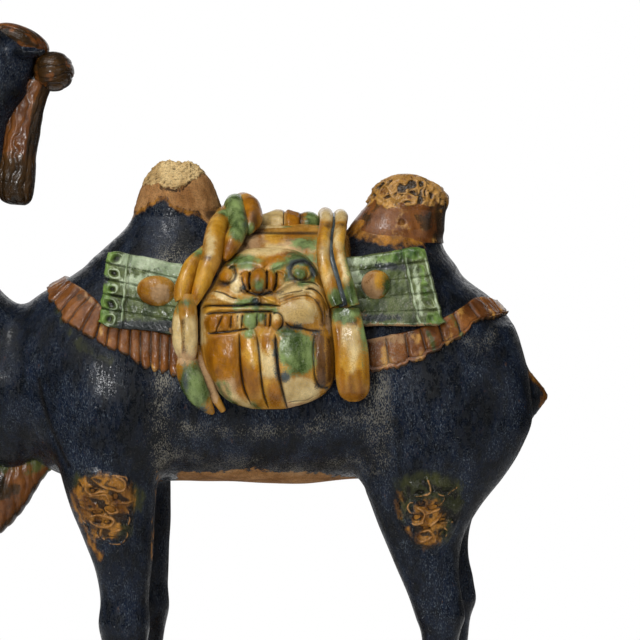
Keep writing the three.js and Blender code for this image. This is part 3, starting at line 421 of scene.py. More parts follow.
def fired(name, tones, coats, gloss, crackle_mm, bump_mm=0.16, fleck=0.3, run_mm=3.2,
          soft_edge=0.5, shine=0.26, flash=0.0, streak=0.0):
    """Material of a ground glaze with others run over it. `tones` are the ground's deep and
    pale colours. Each coat is (mark, deep, pale): it lies where its painted mark, in steps
    of 4 mm from the edge and moved by up to about `run_mm` by noise drawn out downwards,
    is above zero, and thins out over `soft_edge` steps on each side of it. The darkening mark
    lays near-black into creases, grooves, pits and under ledges, partly glaze that pools there
    and partly painted shade; `wear` is where it is rubbed. `flash` is how strong the fine pale
    specks are that float in the ground glaze, `streak` how much duller the brushed streaks
    are that break up its reflections."""
    made = bpy.data.materials.new(name)
    made.use_nodes = True
    tree = made.node_tree
    shader = tree.nodes["Principled BSDF"]
    where = node(tree, "TexCoord", {}, "Object")
    runny = node(tree, "Mapping", {"Vector": where, "Scale": (1, 1, 0.5)})
    brushed = node(tree, "Mapping", {"Vector": where, "Scale": (1, 1, 0.4)})
    # Clouds in the glaze, runs, grit and scuffs, by their size in millimetres.
    cloud, run, grain, scuffs = (
        node(tree, "TexNoise", {"Vector": at, "Scale": 1000 / size, "Detail": detail})
        for at, size, detail in (
            (runny, 24, 4.0), (runny, 6.5, 4.0), (where, 1.5, 2.0), (brushed, 0.95, 2.0)))
    hollow, wear = (node(tree, "Attribute", {}, "Fac", attribute_name=mark) for mark in ("hollow", "wear"))

    # How far the glaze's edges wander, in steps, and how thick it lies.
    edge = node(tree, "Math", {0: grain, 1: 1.5, 2: -0.75 - run_mm / 2}, **SUM)
    edge = node(tree, "Math", {0: run, 1: run_mm, 2: edge}, **SUM)
    shade = 0.0
    for part, weight in ((cloud, 0.45), (run, 0.3), (grain, 0.25)):
        shade = node(tree, "Math", {0: part, 1: weight, 2: shade}, **SUM)
    shade = node(tree, "MapRange", {0: shade, 1: 0.38, 2: 0.64}, **RAMP)

    # Layers from the ground up, each a share and a colour.
    layers = []
    if flash:
        clear = node(tree, "MapRange", {0: cloud, 1: 0.42, 2: 0.62, 3: 0.15}, **RAMP)
        specks = node(tree, "TexNoise", {"Vector": brushed, "Scale": 1000 / SPECK_MM, "Detail": 2.0})
        specks = node(tree, "MapRange", {0: specks, 1: 0.54, 2: 0.7, 4: flash}, **RAMP)
        specks = node(tree, "Math", {0: specks, 1: clear}, operation="MULTIPLY")
        layers.append((specks, linear(SPECK)))
    matt = 0.0
    for label, deep, pale in coats:
        bare = label in ("clay", "broken")
        sharp = 0.2 if bare else soft_edge
        mark = node(tree, "Attribute", {}, "Fac", attribute_name=label)
        lies = node(tree, "Math", {0: mark, 1: edge}, operation="ADD")
        lies = node(tree, "MapRange", {0: lies, 1: -sharp, 2: sharp}, **RAMP)
        coat = {"Factor": shade, 6: linear(deep), 7: linear(pale)}
        layers.append((lies, node(tree, "Mix", coat, 2, data_type="RGBA")))
        if bare:
            matt = node(tree, "Math", {0: lies, 1: matt}, operation="MAXIMUM")
    layers.append((node(tree, "MapRange", {0: grain, 1: 0.42, 2: 0.66, 4: fleck}, **RAMP), linear(GRIT)))
    # Painted shade: near-black where the darkening mark is set, in creases, grooves, pits and under ledges,
    # with some glaze pooling there.
    pooled_and_shaded = node(tree, "Math", {0: edge, 1: 0.12, 2: hollow}, **SUM)
    pooled_and_shaded = node(tree, "MapRange", {0: pooled_and_shaded, 1: 0.1, 2: 0.9, 4: 0.93}, **RAMP)
    layers.append((pooled_and_shaded, linear(POOLED_GLAZE_AND_SHADE)))
    rubbed = node(tree, "Math", {0: cloud, 1: 0.35, 2: scuffs}, **SUM)
    rubbed = node(tree, "Math", {0: wear, 1: 0.1, 2: rubbed}, **SUM)
    rubbed = node(tree, "MapRange", {0: rubbed, 1: 0.755, 2: 0.865, 4: 0.62}, **RAMP)
    layers.append((node(tree, "Math", {0: rubbed, 1: wear}, operation="MULTIPLY"), linear(RUBBED)))
    ground = {"Factor": shade, 6: linear(tones[0]), 7: linear(tones[1])}
    colour = node(tree, "Mix", ground, 2, data_type="RGBA")
    for share, paint in layers:
        colour = node(tree, "Mix", {"Factor": share, 6: colour, 7: paint}, 2, data_type="RGBA")
    tree.links.new(colour, shader.inputs["Base Color"])

    # Crackle, grit and runs as fine relief, and a gloss that grit, wear and bare clay dull.
    relief = node(tree, "TexVoronoi", {"Vector": where, "Scale": 1000 / crackle_mm}, "Distance",
                  feature="DISTANCE_TO_EDGE")
    relief = node(tree, "MapRange", {0: relief, 1: 0.0, 2: 0.08}, **RAMP)
    relief = node(tree, "Math", {0: grain, 1: 1.2, 2: relief}, **SUM)
    relief = node(tree, "Math", {0: run, 1: 1.4, 2: relief}, **SUM)
    bumped = node(tree, "Bump", {"Height": relief, "Strength": 0.6, "Distance": bump_mm / 1000})
    tree.links.new(bumped, shader.inputs["Normal"])
    dull = node(tree, "MapRange", {0: grain, 1: 0.3, 2: 0.8, 3: gloss, 4: gloss + 0.14}, **RAMP)
    dull = node(tree, "Math", {0: wear, 1: 0.3, 2: dull}, **SUM)
    dull = node(tree, "Math", {0: matt, 1: 0.6, 2: dull}, use_clamp=True, **SUM)
    if streak:
        brushing = node(tree, "TexNoise", {"Vector": brushed, "Scale": 1000 / STREAK_MM, "Detail": 4.0})
        brushing = node(tree, "MapRange", {0: brushing, 1: 0.46, 2: 0.56, 4: streak}, **RAMP)
        dull = node(tree, "Math", {0: dull, 1: brushing}, operation="ADD", use_clamp=True)
    tree.links.new(dull, shader.inputs["Roughness"])
    shader.inputs["IOR"].default_value = GLASS_IOR
    shader.inputs["Specular IOR Level"].default_value = shine
    return made


# Cobalt lead glaze over slip: near black where it is thick, navy where it thins, finely
# crazed and scratched to pale specks, with amber and olive glaze let into it on the legs.
# Bare clay is a tan buff, and clay that broke later a pale straw.
cobalt_glaze = fired(
    "cobalt_lead_glaze", ("#010408", "#08162a"),
    [("green", "#1c2010", "#3a3c1a"), ("amber", "#4c2809", "#b67c2a"), ("clay", "#82582f", "#b48654"),
     ("broken", "#a98856", "#dcc08a")], gloss=0.07, crackle_mm=2.2,
    bump_mm=0.24, fleck=0.5, run_mm=4.0, soft_edge=0.9, shine=0.15, flash=0.5, streak=0.3)

BODY_STEP = 0.0038
BODY_REACH = 0.026
BODY_BOX = (-0.46, -0.135, 0.015), (0.29, 0.135, 0.78)
# How softly each form runs into the rest, in metres.
TRUNK_SOFT, LEG_SOFT, NECK_SOFT, HUMP_SOFT, TAIL_SOFT = 0.01, 0.022, 0.025, 0.02, 0.004
LOWER_HUMPS = ((FRONT_HUMP, 578), (REAR_HUMP, 576))  # each up to where its top takes over
body = Clay(*BODY_BOX, BODY_STEP, BODY_REACH)
body.add(place(trunk_rings(90, 72)), TRUNK_SOFT)
for rows, side, back in LEGS:
    body.add(place(leg_rings(rows, side, back, 90, 40)), LEG_SOFT)
# The neck is set on at the chest with a crease before the shoulder, and flows into the back.
body.add(place(outlined(NECK, 90, 56)), lambda x, y, z: np.clip((z - 380) / 90, 0.22, 1) * NECK_SOFT)
for rows, top in LOWER_HUMPS:
    body.add(place(upright([row for row in rows if row[0] <= top], 50, 56)), HUMP_SOFT)
body.add(place(outlined(TAIL, 60, 40)), TAIL_SOFT)

points, quads = body.skin()
points = body.drape(points, 0.0, 2)
facing = body.facing(points)
points += facing * (waves(points, 0.09, 3, 2) * 0.0007)[:, None]


PATH_PIECES = 20


def off_path(x, z, path):
    """Distance of each point to a smooth path cut into straight pieces, and how far along
    the path, 0 to 1, its nearest place lies."""
    line = between(path, PATH_PIECES + 1)
    off, where = np.full(np.shape(x), np.inf), np.zeros(np.shape(x))
    for i, ((a, b), (c, d)) in enumerate(zip(line[:-1], line[1:])):
        u, v = c - a, d - b
        t = np.clip(((x - a) * u + (z - b) * v) / (u * u + v * v), 0, 1)
        s = np.hypot(x - a - t * u, z - b - t * v)
        where = np.where(s < off, (i + t) / PATH_PIECES, where)
        off = np.minimum(off, s)
    return off, where


def cover(parts, *spots):
    """Painted mark: how far in from a spot's edge each point lies, in steps of 4 parts,
    negative outside, the greatest over the spots. A spot is x, z, half-wide and half-high,
    or a brush stroke: its half-width and then the points x, z that it runs along."""
    x, z = parts[:, 0], parts[:, 2]
    found = []
    for spot_or_stroke in spots:
        if np.ndim(spot_or_stroke[1]):
            half, *path = spot_or_stroke
            found.append((half - off_path(x, z, path)[0]) / 4)
        else:
            a, b, w, h = spot_or_stroke
            found.append((1 - np.hypot((x - a) / w, (z - b) / h)) * min(w, h) / 4)
    return np.max(found, axis=0)


def in_parts(points):
    """Metres back to parts of the figure's height."""
    return (points - (STANCE, 0, BASE_TOP)) / PART


def near_line(x, z, path, half):
    """exp(-(s/half)²), s the distance in parts to a smooth path in x and z."""
    return np.exp(-(off_path(x, z, path)[0] / half) ** 2)


def hump_glaze(x):
    """Level of the ragged edge where the blue stops on the front hump, at x."""
    return np.interp(x, [-165, -150, -138, -130, -122, -116, -104, -90, -78, -68],
                     [549, 557, 564, 569, 570, 562, 557, 554, 547, 540])


def hump_haze(x, z):
    """Mark of the brown run where the blue thins out over the clay of the front hump."""
    return 1.1 - np.abs(z - hump_glaze(x) + 1.5) / 2.4


# Amber and olive glaze let into the blue over the curled hair of the legs.
LEG_AMBER = [
    (-180, 276, 30, 24), (-176, 246, 14, 8), (1.6, (-203, 264), (-196, 240), (-184, 219)),
    (136, 259, 15, 16), (134, 240, 12, 11), (1.2, (106, 282), (105, 270), (108, 260)),
    (0.8, (116, 247), (124, 233)),
]
LEG_GREEN = [
    (-204, 291, 7, 8), (-150, 276, 9, 12), (-164, 245, 10, 8), (134, 288, 30, 14), (154, 270, 15, 15),
    (112, 272, 6, 16), (150, 250, 8, 14),
]
# Creases pressed in before the shoulder, at the elbow and over the thigh, darkened with painted shade.
CREASES = [
    ([(-244, 392), (-239, 366), (-232, 344), (-220, 318), (-213, 306)], 2.6, 0.0022),
    ([(-128, 330), (-124, 305), (-126, 285)], 3.5, 0.0012),
    ([(92, 330), (80, 306), (76, 285)], 3.5, 0.0012),
]
# Thin pale line in bare clay colour down the foreleg's rear edge, a painted highlight; a chip at
# the front hump's foot, darkened inside with painted shade; olive haze on the chest, worn places
# and the tail's amber tip.
BACK_EDGE = (0.7, (-126, 301), (-131, 262), (-134, 235), (-135, 212))
CHIP = (-77, 552, 10, 8)
CHEST_HAZE = [(3, (-225, 459), (-213, 438)), (5, (-206, 426), (-188, 415), (-172, 409))]
WORN = [(14, (-122, 392), (-126, 350), (-124, 308)), (12, (-110, 316), (-60, 308), (20, 304), (90, 312)),
        (16, (82, 392), (86, 350), (80, 310)), (-108, 512, 26, 22), (10, (30, 352), (90, 356)),
        (8, (150, 440), (186, 424), (200, 440)), (10, (-100, 345), (-40, 340), (30, 345))]
TAIL_EDGE = [(241, 394), (250, 383), (257, 373), (252, 362)]
# Level of the rear hump's lower amber edge, by x, and the reach of the bare belly.
AMBER_EDGE = [56, 77, 101, 130, 142, 151, 170], [532, 527, 521, 522, 530, 538, 542]
BELLY_LEVEL, BELLY_FOOT, BELLY_BACK, BELLY_FRONT = 302, 272, 66, -112

parts = in_parts(points)
px, py, pz = parts.T
crease = np.zeros(len(points))
for path, half, deep in CREASES:
    share = near_line(px, pz, path, half) * (np.abs(py) > 30)
    points -= facing * (share * deep)[:, None]
    crease = np.maximum(crease, share * min(1, deep / 0.0022))
under = facing[:, 2] < -0.1
belly_edge = BELLY_LEVEL + 2 * np.sin(px * 0.05) + 4 * waves(points, 0.05, 6, 3)
belly_edge = belly_edge - 0.13 * np.clip(np.abs(px + 30) - 20, 0, 100)
belly = np.min([belly_edge - pz, pz - BELLY_FOOT, BELLY_BACK - px, px - BELLY_FRONT], axis=0) / 4
belly = np.where(under | (np.abs(py) < 90), belly, NOWHERE)
on_hump = (np.abs(px + 116) < 70) & (pz > 535)
# Painted highlight: a thin pale line of clay colour down the near foreleg's rear edge.
back_edge = cover(parts, BACK_EDGE) - 0.2 - 3 * (py > 0)
clay = np.max([belly, back_edge, np.where(on_hump, (pz - hump_glaze(px)) / 3, NOWHERE)], axis=0)
chip = cover(parts, CHIP) * (py < 0) - 4 * (py >= 0)
amber = np.where(on_hump, hump_haze(px, pz), NOWHERE)
amber = np.where(px > 20, (pz - np.interp(px, *AMBER_EDGE)) / 4, amber)
inner = soft((0.1 - facing[:, 1] * np.sign(py)) / 0.3)
amber = np.maximum(amber, cover(parts, *LEG_AMBER) - 4 * inner)
green = np.maximum(cover(parts, *LEG_GREEN) - 4 * inner,
                   cover(parts, *CHEST_HAZE) - 0.5 + 0.8 * waves(points, 0.02, 14))
wear = np.clip(cover(parts, *WORN) / 3 + 0.25, 0, 1)
wear = np.maximum(0.05, wear * (0.75 + 0.4 * waves(points, 0.04, 5)))
tail_edge = near_line(px, pz, TAIL_EDGE, 4)
# The creases and the inside of the chip are darkened with painted shade.
piece("camel_body", points, [quads], cobalt_glaze, clay=np.maximum(clay, chip),
      amber=np.maximum(amber, tail_edge * 3 - 1.6), green=green, wear=wear,
      hollow=np.maximum(crease * 0.8, np.clip(chip, 0, 1) * 0.7))


# ---- Saddle cloth's pleated border
# A strip of clay laid round the humps as one ring, over the back fore and aft. Its pleats
# were pressed with a stick while it was soft, its lower lip pinched into scallops. Amber
# glaze; the grooves between the pleats and the pinch of the lip are darkened near-black
# brown with painted shade, with some glaze pooling there.
# x and z of the inner edge, x and z of the outer edge, front of the ring to its back.
CLOTH_BORDER = [
    (-225, 492, -238, 476), (-212, 479, -227, 455), (-194, 467, -210, 441), (-181, 457, -195, 428),
    (-174, 447, -182, 420), (-165, 442, -168, 415), (-143, 437, -145, 404), (-117, 433, -118, 397),
    (-86, 428, -86, 392), (-20, 421, -20, 388), (50, 424, 50, 392), (78, 428, 80, 399),
    (103, 432, 108, 402), (127, 437, 136, 411), (147, 444, 155, 421), (163, 455, 174, 432),
    (182, 470, 194, 443), (197, 474, 207, 449), (205, 466, 214, 452),
]
# x of each pleat's middle.
NEAR_PLEATS = [
    -231, -222, -213, -203, -193, -183, -174, -164, -153, -143, -133, -124, -115, -104, -90, -74, -56,
    -38, -20, -2, 16, 36, 56, 77, 95, 114, 130, 147, 163, 180, 193, 202,
]
FAR_PLEATS = [
    -228, -219, -204, -190, -171, -150, -129, -108, -86, -62, -40, -18, 6, 30, 52, 72, 92, 112, 131,
    150, 168, 184, 198,
]
BORDER_THICK = 3.3  # over the skin, in parts
PLEAT_WIDE, PLEAT_DEEP = 1.3, 2.6
LIP = 0.9
LIP_LINE = 0.86  # share of the strip's width where the lip is pinched off, behind the pack


def looped(grid):
    """Quads of a grid that closes on itself both ways."""
    rows, sides = grid.shape[:2]
    i, j = np.arange(rows)[:, None], np.arange(sides)[None]
    k, l = (i + 1) % rows, (j + 1) % sides
    quads = np.stack([i * sides + j, i * sides + l, k * sides + l, k * sides + j], -1)
    return grid.reshape(-1, 3), quads.reshape(-1, 4)


def half_ring(side, count):
    """Inner and outer edge of the border along one flank, laid on the body's skin."""
    xi, zi, xo, zo = between(CLOTH_BORDER, count).T
    swing = np.sin(np.linspace(0, np.pi, count)) ** 0.5
    inner = body.drape(place(spot(xi, side * 88 * swing, zi)), 0.0)
    outer = body.drape(place(spot(xo, side * 96 * swing, zo)), 0.0)
    for edge in (inner, outer):
        edge[[0, -1], 1] = 0
    return inner, outer


def pleat_gap(middle, lines):
    """Distance in parts along a flank's strip from each of its places to the nearest pleat,
    and an unevenness of its own for each pleat."""
    length = np.append(0, np.cumsum(np.linalg.norm(np.diff(middle, axis=0), axis=1))) / PART
    at = np.interp(lines, (middle[:, 0] - STANCE) / PART, length)
    off = np.abs(length[:, None] - at)
    return off.min(1), 0.75 + 0.5 * np.random.default_rng(7).uniform(size=len(lines))[off.argmin(1)]


def border_ring(count, across, under):
    """The strip: places shared out between its edges and laid on the skin, then raised by
    thickness·rim(v)·(puff between pleats) - depth·exp(-(s/width)²), s the distance to the
    nearest pleat, with a scalloped lip, and closed underneath the skin."""
    near, far = half_ring(-1, count), half_ring(1, count)
    flanks = (near, NEAR_PLEATS), (far, FAR_PLEATS)
    gaps, uneven = zip(*(pleat_gap((i + o) / 2, lines) for (i, o), lines in flanks))
    inner, outer = (np.concatenate([a[:-1], b[:0:-1]]) for a, b in zip(near, far))
    gap, uneven = (np.concatenate([a[:-1], b[:0:-1]])[:, None] for a, b in (gaps, uneven))
    v = np.interp(np.linspace(0, 1, across), [0, 0.45, 1], [0, 0.6, 1])[None]
    groove = np.exp(-(gap / PLEAT_WIDE) ** 2)
    ragged = 0.08 * waves(inner, 0.016, 11, 3)[:, None]
    reach = (v * (1 + (0.04 - 0.07 * groove + ragged) * v ** 3))[..., None]
    top = inner[:, None] + (outer - inner)[:, None] * reach
    top = body.drape(top, 0.0, 4)
    hind = soft((top[:, :1, 0] - STANCE) / PART / 60 - 0.4)
    line = LIP_LINE - 0.05 * np.exp(-(gap / 3.5) ** 2)
    cut = np.exp(-((v - line) / 0.022) ** 2) * hind
    fade = soft(v / 0.1) * soft((1.04 - 0.16 * hind - v) / 0.1)
    groove = groove * fade
    rim = soft(v / 0.07) * soft((1 - v) / 0.06)
    lip = hind * np.exp(-((v - 0.94) / 0.03) ** 2) + 0.6 * np.exp(-((v - 0.05) / 0.04) ** 2) - 1.6 * cut
    crown = 1 - 0.16 * np.exp(-(gap / 3.6) ** 2) * np.ones_like(v)
    lift = BORDER_THICK * rim * crown - 1.2 * (1 - rim) - PLEAT_DEEP * groove * uneven + LIP * lip
    lift = lift + rim * (0.5 * waves(top, 0.03, 12, 2) + 0.35 * waves(top, 0.009, 13, 2))
    top = top + body.facing(top) * (lift * PART)[..., None]
    low = inner[:, None] + (outer - inner)[:, None] * np.linspace(0.97, 0.03, under)[None, :, None]
    low = body.drape(low, -0.004, 3)
    none = np.zeros(low.shape[:2])
    # Painted shade in the pleat grooves and the pinch of the lip, with some glaze pooling there.
    pool_and_shade = np.maximum(groove * 0.75, 0.6 * cut)
    edge = np.concatenate([np.broadcast_to(v, top.shape[:2]), none], 1)
    return np.concatenate([top, low], 1), np.concatenate([pool_and_shade, none], 1), edge


# Amber lead glaze, iron brown: thin and matt over the carving, so that it looks like
# waxed wood, with brown where it pooled and bare clay where it was rubbed off.
amber_glaze = fired(
    "amber_lead_glaze", ("#522b0b", "#8e5828"),
    [("brown", "#1e1406", "#4e3416"), ("green", "#2b3416", "#5d6230"), ("cream", "#a07c4c", "#d4b07c"),
     ("clay", "#7d5a3e", "#a5815a"), ("yellow", "#8f6426", "#c8964e")], gloss=0.15, crackle_mm=3.1,
    fleck=0.4)

grid, pool_and_shade, edge = border_ring(450, 25, 4)
points, quads = looped(grid)
parts = in_parts(points)
piece("cloth_border", points, [quads], amber_glaze, hollow=pool_and_shade.ravel(),
      wear=np.clip(cover(parts, (-130, 425, 40, 16), (90, 418, 34, 20)) / 3, 0, 1) * 0.6,
      brown=np.maximum(waves(points, 0.05, 31) * 1.5 - 1.5, (edge.ravel() - 0.93) * 14),
      green=cover(parts, (2.5, (133, 438), (140, 422)), (2, (158, 452), (166, 436))) - 0.2,
      yellow=waves(points, 0.03, 32) * 1.4 - 1.3,
      clay=cover(parts, (84, 432, 34, 5), (1.5, (-212, 488), (-190, 466), (-168, 450))))

# ---- Saddle pad and the goods on top of it
# A thick pad arched over the back between the humps, with a rolled upper edge on each side
# and soft bolsters lashed across the top. Modelled by hand; the glazes have run together.
PAD = [
    (-70, 452, 90, 70), (-64, 452, 98, 86), (-20, 452, 101, 90), (28, 452, 101, 90),
    (54, 452, 98, 86), (60, 452, 90, 72),
]  # x, level, half-width, height above
PAD_DEPTH = 60
BOLSTERS = [
    (-42, 4), (-34, 8.5), (-27, 12.5), (-18, 15.6), (-11, 16), (-7, 15.2), (-5, 14.4), (-2, 16.4),
    (3, 15.6), (8, 14.6), (10.5, 13.4), (15, 14.4), (20, 14.2), (25, 12.6), (29, 9), (32, 4),
]  # x, radius
BOLSTER_LEVEL = 541
BOLSTER_WIDE = 1.9

# The lead glazes of the load, dabbed on beside each other and run together in the kiln:
# cream, honey, amber, copper green and a little blue, glassy and finely crazed.
load_glaze = fired(
    "sancai_lead_glaze", ("#8a5c10", "#c08e3e"),
    [("clay", "#94714a", "#c8a478"), ("cream", "#ac9058", "#dcc48e"), ("yellow", "#a06e10", "#cc9c3c"),
     ("amber", "#6a3d00", "#a96d0e"), ("brown", "#2c1a08", "#6e4a24"), ("green", "#26380e", "#83965a"),
     ("blue", "#12171c", "#4c5655")],
    gloss=0.14, crackle_mm=3.2, fleck=0.3, run_mm=2.4, soft_edge=0.7)


def painted(points, **spots):
    """Marks of the glazes on a piece, each from its spots, and a little wear all over."""
    parts = in_parts(points)
    return {"wear": 0.05} | {name: cover(parts, *places) for name, places in spots.items()}


x, z, half, up = between(PAD, 56).T
deep = np.full(56, PAD_DEPTH * PART)
pad = rings(place(spot(x, 0, z)), Y, Z, half * PART, up * PART, deep, 150, SQUARE)
centre = pad.mean(1, keepdims=True)
pad += (pad - centre) / np.linalg.norm(pad - centre, axis=-1, keepdims=True) * (
    waves(pad, 0.07, 5, 2) * 0.0012 + waves(pad, 0.016, 6, 2) * 0.0004)[..., None]
points, *faces = closed(pad)
marks = painted(
    points, cream=[(-60, 505, 12, 18), (3, (-24, 521), (-4, 519))],
    yellow=[(-15, 528, 10, 6)], green=[(16, 523, 14, 6), (34, 508, 8, 12), (14, 508, 14, 5)],
    clay=[(-38, 522, 16, 22), (-10, 520, 40, 9)],
    amber=[(3, (-2, 532), (14, 530)), (2, (-30, 533), (-26, 520))],
    brown=[(2, (-46, 530), (-40, 518), (-30, 512)), (1.5, (-2, 527), (12, 526))])
level = in_parts(points)[:, 2]
# Painted shade: a dark band on the pad just under its edge rolls and the bolsters.
marks["hollow"] = 0.7 * soft((536.5 - level) / 3) * soft((level - 530.5) / 2)
piece("saddle_pad", points, faces, load_glaze, **marks)

FLANKS = ((-1, "left"), (1, "right"))
for side, flank in FLANKS:
    run = np.linspace(0, 1, 60)
    path = place(spot(-47 + 91 * run, side * 36, 537.6 + 1.0 * np.sin(7 * run)))
    high = 0.0036 * (0.7 + 0.3 * np.sin(np.pi * run))
    edge_roll = rings(path, Y, Z, np.full(60, 0.0062), high, high, 18)
    points, *faces = closed(edge_roll)
    piece(f"pad_edge_{flank}", points, faces, load_glaze, **painted(
        points, cream=[(-24, 537, 30, 12)], green=[(20, 537, 26, 12)], clay=[(-40, 537, 8, 8)]))

x, radius = between(BOLSTERS, 110).T
bolsters = rings(place(spot(x, 0, BOLSTER_LEVEL)), Y, Z, radius * BOLSTER_WIDE * PART, radius * PART,
                 radius * PART, 90)
bolsters += (bolsters - bolsters.mean(1, keepdims=True)) * 0.06 * waves(bolsters, 0.025, 8, 2)[..., None]
points, *faces = closed(bolsters)
marks = painted(points, green=[(24, 548, 9, 26)], cream=[(-22, 550, 18, 11), (4, 560, 6, 3)],
                amber=[(4, 552, 9, 12), (-40, 545, 8, 14)], brown=[(12, 548, 2, 14)])
x = in_parts(points)[:, 0]
# Painted shade in the two waists where the bolsters meet.
marks["hollow"] = 0.75 * np.max([np.exp(-((x - joint) / 0.9) ** 2) for joint in (-6.2, 10.2)], axis=0)
piece("bolsters", points, faces, load_glaze, **marks)

# ---- Saddle boards
# Two planked boards on each flank, fore and aft of the pack, cut from a slab of clay. Four
# scored lines part the planks; a scored ridge divides off five pegged squares at the free
# end. Green glaze, thin and pale on the edges, with an amber or green clay boss on each.
# Corners in side view from the end under the pack: top, top of the free end, bottom of the
# free end, bottom.
FORE_BOARD = [(-92, 500), (-176, 518), (-184, 444), (-92, 431)]
AFT_BOARD = [(46, 508), (131, 521), (151, 443), (46, 442)]
BOARD_THICK = 14
BOARD_FACE = (-105, -84)  # y of the face at the bottom and at the top
BOARD_LEVELS = (432, 516)
PLANKS = 5
END_STRIP = 20  # width of the row of squares
FORE_BOSS = (-128, 477, 18.5, 15.5)  # x, z, half-width and half-height
AFT_BOSS = (84, 483, 14.5, 14)
BOSS_RISE = 12


def board_face(z):
    """y of the boards' sloping face at a level."""
    f = (z - BOARD_LEVELS[0]) / (BOARD_LEVELS[1] - BOARD_LEVELS[0])
    return BOARD_FACE[0] + f * (BOARD_FACE[1] - BOARD_FACE[0])


def spread(count, *crowded):
    """Even steps from 0 to 1, drawn closer together round the places in `crowded`."""
    t = np.linspace(0, 1, 4 * count)
    density = 1 + sum(3 * np.exp(-((t - c) / 0.02) ** 2) for c in crowded)
    run = np.cumsum(density)
    run = (run - run[0]) / (run[-1] - run[0])
    return np.interp(np.linspace(0, 1, count), run, t)


def stitched(front, back):
    """Closed skin of a grid and the flat back behind it: the grid, a wall round its rim and
    a fan about the back's middle."""
    n, m = front.shape[:2]
    i, j = np.arange(n - 1)[:, None] * m, np.arange(m - 1)[None]
    face = np.stack([i + j, i + j + 1, i + j + m + 1, i + j + m], -1).reshape(-1, 4)
    rim = np.concatenate([np.arange(m), np.arange(1, n) * m + m - 1,
                          (n - 1) * m + np.arange(m - 1)[::-1], np.arange(1, n - 1)[::-1] * m])
    after = np.roll(rim, -1)
    low = n * m + np.arange(len(rim))
    low_after = np.roll(low, -1)
    wall = np.stack([rim, low, low_after, after], -1)
    fan = np.stack([low_after, low, np.full(len(rim), n * m + len(rim))], -1)
    points = np.concatenate([front.reshape(-1, 3), back.reshape(-1, 3)[rim], back.mean((0, 1))[None]])
    return points, [face, wall, fan]


def board(corners, side, seed, deep, count):
    """Face at along a (pack to free end) and down d: the corners mixed, set out by the
    relief, which is the planks' crowns and grooves, the squares, their rims and hollows,
    and the ridge; the rim is rounded off over the board's edge. `deep` is how much of the
    scoring shows through the glaze."""
    (xa, za), (xb, zb), (xc, zc), (xd, zd) = corners
    long, high = abs(xb - xa), abs(za - zd)
    strip = 1 - END_STRIP / long
    a = spread(count, 0, strip, 1)[:, None]
    d = spread(count, 0, 0.2, 0.4, 0.6, 0.8, 1)[None]
    corner = np.exp(-((1 - a) / 0.06) ** 2) * np.exp(-(np.minimum(d, 1 - d) / 0.06) ** 2)
    sag = 1.2 * np.sin(np.pi * a) * (2 * d - 1) * (1 - a) - 0.05 * (1 - 2 * d) * corner * (za - zd)
    x = (xa + a * (xb - xa)) * (1 - d) + (xd + a * (xc - xd)) * d
    z = (za + a * (zb - za)) * (1 - d) + (zd + a * (zc - zd)) * d + sag
    ragged = waves(spot(0, d * 0.09, 0), 0.03, seed, 3)
    x = x + 1.1 * ragged * (a > 0.5) * a
    z = z + 0.8 * waves(spot(a * 0.09, 0, 0), 0.03, seed + 1, 3) * (2 * np.abs(d - 0.5)) ** 4
    off = np.abs((d * PLANKS + 0.05 * np.sin(9 * d + seed) + 0.12 * (a - 0.5)) % 1)
    off = np.minimum(off, 1 - off) * high / PLANKS  # parts from the nearest scored line
    fine = waves(spot(x, z, 0) * PART, 0.02, seed, 3)
    groove = np.exp(-(off / (0.9 + 0.25 * fine)) ** 2) * (d > 0.08) * (d < 0.92) * (0.7 + 0.3 * fine) * deep
    in_strip = soft((a - strip) * long / 2)
    ridge = np.exp(-((a - strip) * long / 1.2) ** 2) * (1 + 0.3 * np.sin(31 * d + seed))
    cell = (d * PLANKS) % 1 - 0.5
    u, v = (a - (1 + strip) / 2) * long - 1, cell * high / PLANKS - 0.4
    u, v = u + 0.8 * np.sin(17 * d + seed), v + 0.5 * np.sin(23 * d)
    reach = (np.abs(u / 1.15) ** 2.6 + np.abs(v) ** 2.6) ** (1 / 2.6) * (1 + 0.22 * fine)
    rim = np.exp(-((reach - 4.3) / 0.9) ** 2) * in_strip
    hole = np.exp(-(reach / (2.0 + 0.9 * deep)) ** 4) * in_strip * deep
    edge = np.minimum(np.minimum(d, 1 - d) * high, np.minimum((1 - a) * long, 50))
    rise = (0.8 * np.cos(np.pi * cell) - 2.2 * groove * (1 + 0.5 * in_strip) + 1.4 * in_strip * (1 - groove)
            + 2.0 * ridge + 1.0 * rim - 3.4 * hole + 0.7 * fine
            + 0.25 * waves(spot(x, z, 0) * PART, 0.006, seed, 2))
    rise = rise - 3.2 * (1 - np.sqrt(1 - (1 - np.clip(edge / 3.2, 0, 1)) ** 2))
    front = place(spot(x, (board_face(z) - rise) * -side, z))
    back = place(spot(x, (board_face(z) + BOARD_THICK) * -side, z))
    # Painted shade in the scored grooves, the squares' holes and along the ridge's foot on the pack side.
    hollow = np.maximum(groove * 0.8 * (0.75 + 0.4 * in_strip), hole)
    hollow = np.maximum(hollow, 0.5 * np.exp(-((a - strip) * long + 3) ** 2 / 2))
    # Pale on the ridge, the squares' rims and the edges, where the glaze runs thin; on the ridge it is also
    # a painted highlight.
    pale = np.maximum(np.maximum(ridge, rim * deep), np.exp(-((edge - 2.2) / 1.3) ** 2) * 0.7)
    return front, back, hollow, pale


# Copper green lead glaze: olive where it is thin, bright where it is thick, milky pale on
# the ridges, where a painted highlight lies too, and blue-black where it pooled; near-black
# painted shade lies in the scored lines and holes.
green_glaze = fired(
    "green_lead_glaze", ("#2f3a20", "#76824e"),
    [("pale", "#7f8f6c", "#c6d2b0"), ("bright", "#2c4c16", "#7f9a4c"), ("blue", "#15191a", "#3c4240"),
     ("clay", "#876a4a", "#b08c62")], gloss=0.15, crackle_mm=2.6, fleck=0.4)
